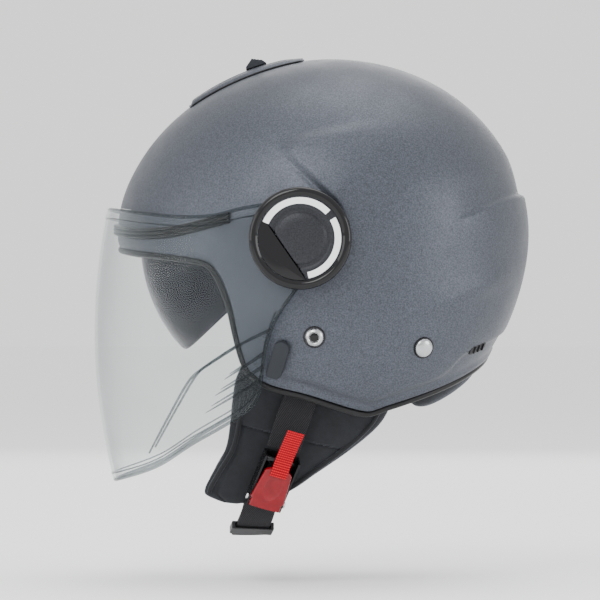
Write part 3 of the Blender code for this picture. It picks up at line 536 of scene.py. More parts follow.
class Finish:
    """A Principled material under way. Even values are set on the shader's own sockets."""

    def __init__(self, name, **sockets):
        self.material = bpy.data.materials.new(name)
        self.material.use_nodes = True
        self.tree = self.material.node_tree
        self.shader = self.tree.nodes["Principled BSDF"]
        for socket, value in sockets.items():
            self.shader.inputs[socket.replace("_", " ")].default_value = value

    def node(self, kind, settings=None, values=None, out=0):
        """Adds a node: settings first, then the values or links of its sockets. Returns one output."""
        made = self.tree.nodes.new(kind)
        for key, value in (settings or {}).items():
            setattr(made, key, value)
        for key, value in (values or {}).items():
            if isinstance(value, Wire):
                self.tree.links.new(value.socket, made.inputs[key])
            else:
                made.inputs[key].default_value = value
        return Wire(self, made.outputs[out])

    def place(self, scale=(1, 1, 1)):
        """The point in the object's own metres, stretched by a scale."""
        point = self.node("ShaderNodeTexCoord", out="Object")
        return self.node("ShaderNodeMapping", None, {"Vector": point, "Scale": scale})

    def noise(self, scale, detail=2.0, rough=0.5, where=None):
        """Drifting noise, 0 to 1, at a scale in grains to the metre."""
        return self.node("ShaderNodeTexNoise", None, {
            "Vector": where or self.place(), "Scale": scale, "Detail": detail, "Roughness": rough})

    def cells(self, scale, feature="F1", out="Distance", where=None):
        """Cells scattered through space, at a scale in cells to the metre."""
        return self.node(
            "ShaderNodeTexVoronoi", {"feature": feature},
            {"Vector": where or self.place(), "Scale": scale}, out)

    def remap(self, value, low, high, start=0.0, end=1.0):
        """Smooth step of a value from low to high, given as start to end."""
        return self.node("ShaderNodeMapRange", {"interpolation_type": "SMOOTHSTEP"}, {
            "Value": value, "From Min": low, "From Max": high, "To Min": start, "To Max": end})

    def blend(self, factor, first, second):
        """Colour between two colours."""
        return self.node("ShaderNodeMix", {"data_type": "RGBA"}, {0: factor, 6: first, 7: second}, 2)

    def wave(self, value, pitch):
        """Sine of a length, 0 to 1, with a pitch in metres."""
        turn = value * (2 * math.pi / pitch)
        return self.node("ShaderNodeMath", {"operation": "SINE"}, {0: turn}) * 0.5 + 0.5

    def feed(self, socket, value):
        """Links a value to one of the shader's sockets."""
        self.tree.links.new(value.socket, self.shader.inputs[socket])
        return self

    def bump(self, height, distance, strength=1.0):
        """Tilts the normal by the slope of a height, given in shares of a distance in metres."""
        return self.feed("Normal", self.node("ShaderNodeBump", None, {
            "Height": height, "Distance": distance, "Strength": strength}))


def tinted(color, factor):
    """A colour made lighter or darker, with full alpha."""
    return (*(min(channel * factor, 1.0) for channel in color[:3]), 1.0)


def flake_paint(name, color, sizes):
    """Matt metallic paint: each flake is a cell with its own brightness, over a slow drift of tone."""
    finish = Finish(name, Metallic=sizes.metal, Coat_Weight=0.06, Coat_Roughness=0.35)
    grain = finish.noise(1 / sizes.flake, 3.0, 0.7)
    drift = finish.noise(22.0, 2.0)
    tone = finish.remap(grain, 0.32, 0.68)
    dark = finish.blend(drift, tinted(color, 0.66), tinted(color, 0.78))
    finish.feed("Base Color", finish.blend(tone, dark, tinted(color, 1.55)))
    cloud = finish.noise(60.0, 4.0)
    finish.feed("Roughness", finish.remap(cloud, 0.3, 0.7, sizes.rough - 0.03, sizes.rough + 0.04))
    return finish.bump(grain, 0.00006, 0.7).material


def moulded(name, color, rough, grain=0.00025, depth=0.00002, metal=0.0, coat=0.0):
    """Moulded plastic, rubber or blacked metal: a fine spark-eroded grain and slow changes of gloss."""
    finish = Finish(name, Metallic=metal, Specular_IOR_Level=0.2, Coat_Weight=coat, Coat_Roughness=0.05)
    fine = finish.noise(1 / grain, 3.0)
    slow = finish.noise(45.0, 3.0)
    finish.feed("Base Color", finish.blend(slow, tinted(color, 0.85), tinted(color, 1.2)))
    finish.feed("Roughness", finish.remap(fine + slow, 0.7, 1.3, max(rough - 0.05, 0.02), rough + 0.06))
    return finish.bump(fine, depth, 0.6).material


def gloss(name, color, rough=0.08):
    """Piano-gloss plastic with faint handling haze."""
    finish = Finish(
        name, Base_Color=tinted(color, 1), Specular_IOR_Level=0.25, Coat_Weight=0.12, Coat_Roughness=0.03)
    haze = finish.noise(70.0, 5.0, 0.6)
    finish.feed("Roughness", finish.remap(haze, 0.35, 0.75, rough, rough + 0.05))
    return finish.bump(haze, 0.00002, 0.15).material


def steel(name, color=(0.62, 0.62, 0.63), rough=0.2):
    """Polished steel with fine turning marks and worn, duller patches."""
    finish = Finish(name, Metallic=1.0)
    marks = finish.noise(1800.0, 2.0, 0.5, finish.place((1, 1, 0.1)))
    worn = finish.noise(300.0, 3.0)
    finish.feed("Base Color", finish.blend(worn, tinted(color, 0.82), tinted(color, 1.1)))
    finish.feed("Roughness", finish.remap(worn, 0.35, 0.7, rough, rough + 0.14))
    return finish.bump(marks, 0.00001, 0.35).material


def see_through(name, tint, gloss_color, facing, hold):
    """Clear or smoked sheet: a tinted transparent layer under a gloss that grows towards grazing angles."""
    finish = Finish(name, Base_Color=gloss_color, Roughness=0.03, Coat_Weight=0.3)
    out = finish.tree.nodes["Material Output"]
    through_it = finish.node("ShaderNodeBsdfTransparent", None, {"Color": tint})
    edge = finish.node("ShaderNodeLayerWeight", None, {"Blend": facing}, "Facing")
    smear = finish.remap(finish.noise(30.0, 4.0), 0.3, 0.8, 0.0, 0.02)
    share = (edge ** 3.0) * 0.75 + hold + smear
    mixed = finish.node("ShaderNodeMixShader", None, {
        0: share, 1: through_it, 2: Wire(finish, finish.shader.outputs[0])})
    finish.tree.links.new(mixed.socket, out.inputs["Surface"])
    return finish.material


def felted(name, color, nap, depth=0.00018):
    """Brushed lining fabric: fine felted fibres, a soft sheen and faint pilling."""
    finish = Finish(
        name, Roughness=0.92, Sheen_Weight=0.35, Sheen_Roughness=0.4, Sheen_Tint=(0.55, 0.6, 0.7, 1))
    fibres = finish.noise(1 / nap, 4.0, 0.75)
    pills = finish.noise(160.0, 3.0)
    tone = finish.remap(fibres * 0.7 + pills * 0.3, 0.35, 0.65)
    finish.feed("Base Color", finish.blend(tone, tinted(color, 0.6), tinted(color, 1.5)))
    return finish.bump(fibres + pills * 0.6, depth, 0.8).material


def knitted(name, color, pitch):
    """Open mesh lining: a net of round holes between raised yarns."""
    finish = Finish(name, Roughness=0.85, Sheen_Weight=0.25, Sheen_Roughness=0.5)
    holes = finish.remap(finish.cells(1 / pitch), 0.25, 0.55)
    yarn = finish.noise(2600.0, 3.0)
    # Painted shade: the colour goes dark down in the holes and light on the raised yarns, from the same
    # pattern as the bump.
    finish.feed("Base Color", finish.blend(holes, tinted(color, 0.35), tinted(color, 1.5)))
    return finish.bump(holes + yarn * 0.3, 0.0004, 0.7).material


def woven(name, color, pitch, lean, light=1.7, rough=0.7):
    """Narrow webbing: ribs across it crossed by leaning warp yarns, both on the strap's own metres."""
    finish = Finish(name, Specular_IOR_Level=0.12, Sheen_Weight=0.04, Sheen_Roughness=0.4)
    flat = finish.node("ShaderNodeAttribute", {"attribute_name": "cloth"}, None, "Vector")
    split = finish.node("ShaderNodeSeparateXYZ", None, {0: flat}).socket.node
    across, along = Wire(finish, split.outputs[0]), Wire(finish, split.outputs[1])
    ribs = finish.wave(along + across * lean, pitch)
    warps = finish.wave(across - along * lean * 0.5, pitch * 0.8)
    weave = ribs * (warps * 0.55 + 0.45)
    fibre = finish.noise(3500.0, 3.0)
    height = weave + fibre * 0.25
    # Painted shade and highlight: the colour goes darker down in the weave's grooves and lighter on its
    # raised tops, following the bump's height; light sets how bright the tops are painted.
    painted_shading = finish.remap(height, 0.1, 1.0)
    finish.feed("Base Color", finish.blend(painted_shading, tinted(color, 0.4), tinted(color, light)))
    finish.feed("Roughness", finish.remap(weave, 0, 1, rough + 0.15, rough - 0.1))
    return finish.bump(height, pitch * 0.3, 0.9).material


def beaded_foam(name, color):
    """Expanded foam: rounded beads pressed together."""
    finish = Finish(name, Roughness=0.8)
    beads = finish.cells(420.0, "DISTANCE_TO_EDGE")
    # Painted shade: the colour goes darker in the crevices between the beads and lighter on their crowns,
    # from the same cells as the bump.
    painted_shading = finish.remap(beads, 0, 0.2)
    finish.feed("Base Color", finish.blend(painted_shading, tinted(color, 0.5), tinted(color, 1.25)))
    return finish.bump(finish.remap(beads, 0, 0.3), 0.0003, 0.7).material


def translucent_lever(name, color):
    """Tinted nylon: deep colour with a soft inner haze and fine moulding grain."""
    finish = Finish(name, Roughness=0.2, Specular_IOR_Level=0.3, Coat_Weight=0.15, Coat_Roughness=0.08)
    haze = finish.noise(190.0, 3.0)
    finish.feed("Base Color", finish.blend(haze, tinted(color, 0.7), tinted(color, 1.35)))
    return finish.bump(finish.noise(2200.0, 2.0), 0.00002, 0.4).material


FINISHES = {}


def finish_of(name):
    """Makes each finish once, from the scene's settings."""
    paint = bpy.context.scene.helmet_paint
    soft = bpy.context.scene.helmet_cloth
    makers = {
        "shell_paint": lambda: flake_paint("shell_paint", paint.color, paint),
        "cowl_paint": lambda: flake_paint("cowl_paint", tinted(paint.color, 1.05), paint),
        "hub_grey": lambda: flake_paint("hub_grey", paint.hub, paint),
        "black_rubber": lambda: moulded("black_rubber", (0.012, 0.012, 0.013), 0.38),
        "soft_rubber": lambda: moulded("soft_rubber", (0.020, 0.023, 0.028), 0.62, 0.0004, 0.00004),
        "satin_black": lambda: moulded("satin_black", (0.016, 0.016, 0.018), 0.42),
        "black_steel": lambda: moulded("black_steel", (0.03, 0.03, 0.032), 0.24, metal=0.85),
        "gloss_black": lambda: gloss("gloss_black", (0.004, 0.004, 0.005), 0.05),
        "white_inlay": lambda: gloss("white_inlay", (0.86, 0.87, 0.88), 0.22),
        "steel": lambda: steel("steel"),
        "rivet_steel": lambda: steel("rivet_steel", (0.46, 0.47, 0.48), 0.18),
        "clear_shield": lambda: see_through(
            "clear_shield", (0.965, 0.972, 0.972, 1), (0.30, 0.34, 0.36, 1), 0.42, 0.02),
        # Painted shade: the shield's edge lips and ribs take a greyer, less clear copy of the clear sheet,
        # standing for how refraction darkens its edges and ridges.
        "shield_edge": lambda: see_through(
            "shield_edge", (0.62, 0.65, 0.66, 1), (0.05, 0.055, 0.06, 1), 0.55, 0.10),
        "smoke_visor": lambda: see_through(
            "smoke_visor", (0.24, 0.235, 0.30, 1), (0.03, 0.03, 0.04, 1), 0.3, 0.25),
        "foam": lambda: beaded_foam("foam", (0.030, 0.031, 0.034)),
        "lining_fabric": lambda: felted("lining_fabric", soft.color, soft.nap),
        "mesh_fabric": lambda: knitted("mesh_fabric", soft.color, soft.mesh),
        "piping": lambda: felted("piping", tinted(soft.color, 0.6), soft.nap, 0.0001),
        # The webbing's 2.2 and the ribbon's 1.35 set how bright the painted highlight on their weave tops is.
        "webbing": lambda: woven("webbing", (0.018, 0.018, 0.020), soft.web, 0.9, 2.2),
        "red_ribbon": lambda: woven("red_ribbon", (0.50, 0.002, 0.012), soft.ribbon, 0.0, 1.35, 0.55),
        "red_lever": lambda: translucent_lever("red_lever", (0.20, 0.003, 0.008)),
    }
    if name not in FINISHES:
        FINISHES[name] = makers[name]()
    return FINISHES[name]


def finished(piece, finish, body="helmet", stands_for=()):
    """Gives a piece its finish and the body it rides on, and hides the nodes it stands for."""
    piece.data.materials.clear()
    piece.data.materials.append(finish_of(finish))
    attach(piece, body)
    if stands_for:
        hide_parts(*stands_for)
    return piece


def refinish(node, finish):
    """A better material for a frame node that keeps its shape."""
    NODES[node].data.materials.clear()
    NODES[node].data.materials.append(finish_of(finish))


# ---------------------------------------------------------------- the settings a user would change

class HelmetPaint(bpy.types.PropertyGroup):
    """Paint of the shell."""
    color: FloatVectorProperty(
        name="Paint", description="Colour of the shell's paint", subtype="COLOR", size=3, min=0, max=1,
        default=(0.052, 0.058, 0.072))
    hub: FloatVectorProperty(
        name="Hinge grey", description="Colour of the hinge covers' middle", subtype="COLOR", size=3, min=0,
        max=1, default=(0.018, 0.019, 0.023))
    flake: FloatProperty(
        name="Flake", description="Size of a metal flake", default=0.0009, min=0.0001, max=0.003,
        unit="LENGTH")
    rough: FloatProperty(name="Roughness", description="Roughness of the paint", default=0.46, min=0, max=1)
    metal: FloatProperty(name="Metal", description="How metallic the paint is", default=0.62, min=0, max=1)


class HelmetCloth(bpy.types.PropertyGroup):
    """Fabrics of the lining and the strap."""
    color: FloatVectorProperty(
        name="Lining", description="Colour of the lining fabric", subtype="COLOR", size=3, min=0, max=1,
        default=(0.0075, 0.0085, 0.011))
    nap: FloatProperty(
        name="Nap", description="Size of the fabric's fibres", default=0.00045, min=0.0001, max=0.003,
        unit="LENGTH")
    mesh: FloatProperty(
        name="Mesh", description="Pitch of the open mesh", default=0.0022, min=0.0005, max=0.01,
        unit="LENGTH")
    web: FloatProperty(
        name="Webbing", description="Pitch of the webbing's ribs", default=0.0014, min=0.0004, max=0.005,
        unit="LENGTH")
    ribbon: FloatProperty(
        name="Ribbon", description="Pitch of the ribbon's ribs", default=0.0017, min=0.0004, max=0.005,
        unit="LENGTH")
    seam: FloatProperty(
        name="Seam", description="Depth of a sewn seam", default=0.0012, min=0, max=0.004, unit="LENGTH")


class HelmetDetail(bpy.types.PropertyGroup):
    """Fineness of the surfaces and the stage."""
    rows: IntProperty(
        name="Rows", description="Rows of the shell from crown to rim", default=146, min=20, max=150)
    ridge: FloatProperty(
        name="Ridge", description="Height of the shield's ridges", default=0.0010, min=0, max=0.002,
        unit="LENGTH")
    width: FloatProperty(
        name="View width", description="Width of the view at the helmet", default=0.402, min=0.1, max=2,
        unit="LENGTH")
    distance: FloatProperty(
        name="Distance", description="Camera's distance", default=3.0, min=0.5, max=10, unit="LENGTH")
    lamps: FloatProperty(name="Lamps", description="Strength of the lamps", default=1.0, min=0, max=10)


# ---------------------------------------------------------------- pieces

# Each operator makes its pieces from the scene's settings. No error is caught, so the run stops at one.

class HELMET_OT_shell(bpy.types.Operator):
    """Painted outer shell with its crease, ledge and rolled rim."""
    bl_idname = "helmet.shell"
    bl_label = "Shell"
    bl_options = {"REGISTER", "UNDO"}

    def execute(self, context):
        """Rays over azimuth and polar angle, the last row on the rim, lifted off the skin by the relief.

        The inner face is the plain skin a wall's thickness in. Half an ellipse joins the two at the rim.
        """
        detail = context.scene.helmet_detail
        half = np.radians(np.concatenate((
            np.linspace(0, 44, 44, endpoint=False), np.linspace(44, 72, 62, endpoint=False),
            np.linspace(72, 100, 84, endpoint=False), np.linspace(100, 180, 88, endpoint=False))))
        azimuth = np.concatenate((half, [math.pi], 2 * math.pi - half[:0:-1]))
        end = polar_at(SHELL, azimuth, rim_at(SHELL_RIM, azimuth))
        share = np.linspace(0.004, 1, detail.rows)[:, None]
        plain = skin(SHELL, azimuth[None], end * share)
        normal = outward(plain)
        rise = end * (1 - share) * np.linalg.norm(plain, axis=-1)
        outer = plain + normal * shell_relief(plain, azimuth[None], rise)[..., None]
        few = slice(None, None, -8)
        inner = (plain - normal * SHELL_WALL)[few]
        turn = np.linspace(0, math.pi, 7)[1:-1, None, None]
        middle, reach = (outer[-1] + inner[0]) / 2, (outer[-1] - inner[0]) / 2
        down = plain[-1] - plain[-3]
        down *= 0.0012 / np.linalg.norm(down, axis=-1, keepdims=True)
        lip = middle + reach * np.cos(turn) + down * np.sin(turn)
        poles = [np.repeat(ring.mean(0)[None, None], len(azimuth), 1) for ring in (outer[0], inner[-1])]
        shell = surface("painted_shell", np.concatenate((poles[0], outer, lip, inner, poles[1])), True, 60)
        finished(shell, "shell_paint", stands_for=["shell"])
        return {"FINISHED"}


class HELMET_OT_vents(bpy.types.Operator):
    """Crown intake cowl with its ribbed slide, and the two slots at the back."""
    bl_idname = "helmet.vents"
    bl_label = "Vents"
    bl_options = {"REGISTER", "UNDO"}

    def execute(self, context):
        """The cowl is a patch of the crown whose half-width follows a sine of its length.

        Its height is the root of 1 less the sixth power of the share across, with a groove on each side.
        """
        u, v = np.linspace(0, 1, 73), np.linspace(-1, 1, 41)
        span, across = np.meshgrid(u, v, indexing="ij")
        front, rear, half, rise = -0.093, -0.018, 0.023, 0.0022
        x = front + (rear - front) * span
        swell = 0.55 + 0.45 * np.sin(np.pi * (0.15 + 0.85 * span) / 1.15)
        y = half * swell * across
        off = 0.0008 + rise * np.sqrt(np.clip(1 - np.abs(across) ** 6, 0, 1)) * ease(0, 0.05, span)
        off -= 0.0009 * np.exp(-((np.abs(across) - 0.62) / 0.05) ** 2) * ease(0.1, 0.3, span)
        off -= 0.0010 * ease(0.80, 1.0, span)
        top, low = self.crown(x, y, np.maximum(off, 0.0008)), self.crown(x, y, 0.0003)
        grid = np.concatenate((top, low[:, ::-1]), 1)
        ends = [np.repeat(g.mean(0)[None, None], grid.shape[1], 1) for g in (grid[0], grid[-1])]
        cowl = surface("intake_cowl", np.concatenate((ends[0], grid, ends[1])), True, 40)
        finished(cowl, "cowl_paint", stands_for=["top_vent_cowl"])
        self.undercut()
        knob = refined("top_vent_slide", "vent_slide", 0.0003, 2)
        finished(knob, "soft_rubber", "vent", ["top_vent_slide"])
        for name, side in SIDES:
            self.slot(name, side)
        return {"FINISHED"}

    def crown(self, x, y, off):
        """Points on the crown above x and y: the skin's ray at their azimuth, found by halving."""
        azimuth = np.arctan2(-y, -x)
        far = np.hypot(x, y)

        def beyond(polar):
            """Whether the skin at a polar angle lies further out than the point asked for."""
            return np.hypot(*np.moveaxis(skin(SHELL, azimuth, polar)[..., :2], -1, 0)) >= far

        polar = halved(beyond, azimuth)
        spot = skin(SHELL, azimuth, polar)
        return spot * (1 + off / np.linalg.norm(spot, axis=-1))[..., None]

    def undercut(self):
        """Thin black rubber bead round the cowl's edge: a dark line of painted shade under the cowl's edge.
        """
        turn = np.linspace(0, 2 * math.pi, 120, endpoint=False)
        span = 0.5 - 0.505 * np.cos(turn)
        swell = 0.55 + 0.45 * np.sin(np.pi * (0.15 + 0.85 * np.clip(span, 0, 1)) / 1.15)
        x = -0.093 + 0.075 * span
        y = 0.0236 * swell * np.clip(np.sin(turn) * 3.0, -1, 1)
        path = self.crown(x, y, 0.0006)
        out = path / np.linalg.norm(path, axis=1, keepdims=True)
        # A dark bead as painted shade under the cowl's edge.
        shade_line = sweep("cowl_shade_line", path, out, bead(0.0006, 8), True)
        finished(shade_line, "black_rubber")

    def slot(self, name, side):
        """An exhaust slot: a raised rim round a dark mouth with three slats."""
        place = side_frame(*EXHAUST, side, -0.0009, (-0.36, 0, 1))
        turn = np.linspace(0, 2 * math.pi, 64, endpoint=False)
        c, s = np.cos(turn), np.sin(turn)
        wide = 0.0084 * np.sign(c) * np.abs(c) ** 0.5 + 0.0018 * s
        ring = np.stack((wide, 0.0029 * np.sign(s) * np.abs(s) ** 0.6), -1)
        # The mouth is closed by the black prism's top: its dark is the vent's own black moulding and painted
        # shade for the opening inside the slot.
        mouth = prism("exhaust_mouth_" + name, ring, -0.0002, 0.0008, place, 0.0002)
        finished(mouth, "satin_black", stands_for=["rear_vent_" + name])
        for k in range(3):
            x = -0.0046 + 0.0046 * k
            slat = ((x - 0.0003, -0.0022), (x + 0.0003, -0.0022), (x + 0.0013, 0.0022), (x + 0.0007, 0.0022))
            piece = prism("exhaust_slat_%d_%s" % (k, name), slat, 0.0007, 0.0017, place, 0.0001)
            finished(piece, "black_rubber")


class HELMET_OT_rubber(bpy.types.Operator):
    """Rim bead and the ribbed brow seal."""
    bl_idname = "helmet.rubber"
    bl_label = "Rubber"
    bl_options = {"REGISTER", "UNDO"}

    def execute(self, context):
        """The bead is a circle carried just past the rim's edge. The seal is a strip of the skin.

        The seal is raised by the size of a cosine of the share up it, which makes three ribs.
        """
        middle = inset(SHELL, (SHELL_WALL / 2,) * 4)
        half = np.radians(np.concatenate((
            np.linspace(0, 44, 40, endpoint=False), np.linspace(44, 72, 60, endpoint=False),
            np.linspace(72, 180, 90, endpoint=False))))
        azimuth = np.concatenate((half, [math.pi], 2 * math.pi - half[:0:-1]))
        end = polar_at(middle, azimuth, rim_at(SHELL_RIM, azimuth))
        here, before = skin(middle, azimuth, end), skin(middle, azimuth, end - 0.01)
        down = here - before
        chord = np.roll(here, -1, 0) - np.roll(here, 1, 0)
        chord /= np.linalg.norm(chord, axis=1, keepdims=True)
        down -= chord * np.sum(down * chord, 1, keepdims=True)
        down /= np.linalg.norm(down, axis=1, keepdims=True)
        path = here + down * 0.0026
        trim = sweep("rim_bead", path, down, bead(0.0021, 14), True)
        finished(trim, "black_rubber", stands_for=["edge_trim"])
        reach = np.linspace(-58, 58, 161)
        azimuth = np.radians(reach)
        height = through(((0, 0.004), (25, 0.000), (40, 0.0015), (58, 0.010)), np.abs(reach))
        lift = np.linspace(0.5, -0.5, 33)
        level = height + 0.0075 * lift[:, None]
        wide = np.broadcast_to(azimuth, level.shape)
        seat = skin(SHELL, wide, polar_at(SHELL, wide, level))
        ribs = 0.0020 + 0.0012 * np.abs(np.cos(lift * math.pi * 3)) ** 0.7
        ribs *= np.clip(1 - (np.abs(lift) * 2) ** 10, 0.15, 1)
        out = seat * (1 + ribs[:, None, None] / np.linalg.norm(seat, axis=-1, keepdims=True))
        back = seat * (1 + 0.0002 / np.linalg.norm(seat, axis=-1, keepdims=True))
        ring = np.concatenate((out, back[::-1]))
        ends = [np.repeat(ring[:, k].mean(0)[None, None], len(ring), 0) for k in (0, -1)]
        grid = np.concatenate((ends[0], ring, ends[1]), 1).transpose(1, 0, 2)
        seal = surface("ribbed_brow_seal", grid, True, 50)
        finished(seal, "black_rubber", stands_for=["brow_seal"])
        return {"FINISHED"}


def shield_edges(x):
    """Top and bottom of the face shield at x. Behind the hinge axis they follow the round ear."""
    ear = np.sqrt(np.maximum(EAR_R ** 2 - (x - PIVOT[0]) ** 2, 0))
    top = through(SHIELD_TOP + ((PIVOT[0], PIVOT[1] + EAR_R),), x)
    low = np.minimum(through(SHIELD_LOW, x), PIVOT[1] - ear)
    behind = x > PIVOT[0]
    return np.where(behind, PIVOT[1] + ear, top), np.where(behind, PIVOT[1] - ear, low)


def shield_reach(z):
    """How far the shield's middle stands forwards at a height."""
    return SHIELD_REACH - SHIELD_BOW * (z - SHIELD_FOREMOST) ** 2


class HELMET_OT_shield(bpy.types.Operator):
    """Clear face shield: one curved sheet with pressed ridges and a stiffened lower edge."""
    bl_idname = "helmet.shield"
    bl_label = "Face shield"
    bl_options = {"REGISTER", "UNDO"}

    def execute(self, context):
        """A superellipse in plan, ruled at each x from the lower edge to the upper one.

        Each ridge adds a Gaussian of the distance from its line. The inner face lies a wall's thickness in.
        """
        detail = context.scene.helmet_detail
        turn = np.radians(np.linspace(0, 90, 150))
        front = -np.cos(turn) ** (2 / SHIELD_POWER) * SHIELD_REACH
        front = front[front < PIVOT[0] - 0.001]
        ear = PIVOT[0] + EAR_R * np.sin(np.radians(np.linspace(0, 84, 24)))
        half = np.concatenate((front, ear))
        x = np.concatenate((half[::-1], half[1:]))
        side = np.concatenate((-np.ones(len(half)), np.ones(len(half) - 1)))
        top, low = shield_edges(x)
        share = np.linspace(0, 1, 118)[:, None]
        z = low + (top - low) * share
        plain = self.form(x, side, z)
        normal = outward(plain, False, (0, 0, -0.06))
        seen = plain[..., 0]
        relief = np.zeros_like(z)
        for k, line in enumerate(SHIELD_RIDGES):
            gap, along = near(line, seen, z)
            thin = 0.0013 if k == 0 else 0.0015 - 0.0010 * along
            relief = np.maximum(relief, np.exp(-(gap / thin) ** 2) * (1 - 0.5 * along))
        relief += 0.5 * np.exp(-((z - low - 0.0042) / 0.0011) ** 2) * ease(-0.05, -0.07, seen)
        relief += 0.55 * np.exp(-((top - z - 0.0045) / 0.0011) ** 2) * ease(-0.045, -0.06, seen)
        skin_out = plain + normal * (detail.ridge * relief)[..., None]
        skin_in = plain - normal * SHIELD_WALL
        ring = np.concatenate((skin_out, skin_in[::-1]))
        ends = [ring[:, [k]] * 0.5 + ring[::-1][:, [k]] * 0.5 for k in (0, -1)]
        grid = np.concatenate((ends[0], ring, ends[1]), 1).transpose(1, 0, 2)
        sheet = surface("shield_sheet", grid, True, 45)
        finished(sheet, "clear_shield", "shield", ["face_shield"])
        # The lips and ribs take the darker edge finish, painted shade for the sheet's refracting edges.
        for label, row in (("lower", 0), ("upper", -1)):
            middle = plain[row] - normal[row] * SHIELD_WALL / 2
            lip = sweep("shield_lip_" + label, middle, normal[row], bead(0.0012, 10))
            finished(lip, "shield_edge", "shield")
        for label, level in (("lower", low + 0.0045), ("upper", top - 0.0060)):
            keep = x < -0.035
            self.rib("shield_step_" + label, self.form(x[keep], side[keep], level[keep]), 0.0005)
        for name, hand in SIDES:
            for k, line in enumerate(SHIELD_RIDGES):
                path = smooth_path([(spot[0], 0, spot[1]) for spot in line], 14 if k == 0 else 40)
                rise = path[:, 2]
                flat = path[:, 0] * SHIELD_REACH / shield_reach(rise)
                on = rise > shield_edges(flat)[1] + 0.0012
                flat, rise = flat[on], rise[on]
                along = np.linspace(0, 1, len(flat))
                thick = 0.0011 - 0.0005 * along if k == 0 else 0.0014 - 0.0012 * along
                self.rib("shield_rib_%d_%s" % (k, name), self.form(flat, hand, rise), thick)
        return {"FINISHED"}

    def form(self, x, side, z):
        """The sheet's outer face: a superellipse in plan that narrows and draws back towards the chin."""
        drop = np.maximum(0, (-z - 0.010) / 0.120)
        width = SHELL[2] + SHIELD_CLEAR - SHIELD_NARROW * drop * drop
        out = np.clip(np.abs(x) / SHIELD_REACH, 0, 1)
        y = side * width * (1 - out ** SHIELD_POWER) ** (1 / SHIELD_POWER)
        return np.stack(np.broadcast_arrays(x / SHIELD_REACH * shield_reach(z), y, z), -1)

    def rib(self, name, path, thick):
        """A raised rib on the sheet: a bead whose radius follows its length."""
        out = path * (1, 2, 0)
        out /= np.linalg.norm(out, axis=1, keepdims=True)
        profile = bead(1.0, 10)[None] * np.broadcast_to(thick, len(path))[:, None, None]
        # The rib takes the darker edge finish, painted shade for its refraction.
        finished(sweep(name, path, out, profile), "shield_edge", "shield")


class HELMET_OT_sun_visor(bpy.types.Operator):
    """Smoked sun visor, its hubs' finish and the rubber slide that works it."""
    bl_idname = "helmet.sun_visor"
    bl_label = "Sun visor"
    bl_options = {"REGISTER", "UNDO"}

    def execute(self, context):
        """Part of an ellipsoid about the hinge axis, over the angle round the axis and the share across.

        Below the axis the angle is drawn up by a Gaussian of the share across, for the nose.
        """
        reach = math.degrees(math.acos((HUB_R + SUN_WALL + 0.0012) / SUN_R))
        across = np.radians(np.linspace(-reach, reach, 120))
        angle = np.radians(np.linspace(*SUN_ANGLES, 40))[:, None]
        y = np.broadcast_to(SUN_HALF * np.sin(across), (40, 120))
        radius = SUN_R * np.sqrt(1 - (y / SUN_HALF) ** 2)
        nose = 0.10 * np.exp(-(y / 0.014) ** 2)
        swing = angle + (angle[-1] - angle) * nose * (angle < 0)
        plain = np.stack((PIVOT[0] - radius * np.cos(swing), y, PIVOT[1] + radius * np.sin(swing)), -1)
        normal = outward(plain, False, (PIVOT[0], 0, PIVOT[1]))
        back = plain - normal * SUN_WALL
        ring = np.concatenate((plain, back[::-1]))
        ends = [ring[:, [k]] * 0.5 + ring[::-1][:, [k]] * 0.5 for k in (0, -1)]
        grid = np.concatenate((ends[0], ring, ends[1]), 1).transpose(1, 0, 2)
        visor = surface("smoked_visor", grid, True, 45)
        finished(visor, "smoke_visor", "sun", ["sun_visor"])
        for name, _ in SIDES:
            refinish("sun_visor_hub_" + name, "satin_black")
        lever = refined("sun_visor_lever", "visor_slide", 0.0011, 4)
        finished(lever, "soft_rubber", "sun_slide", ["sun_visor_lever"])
        return {"FINISHED"}


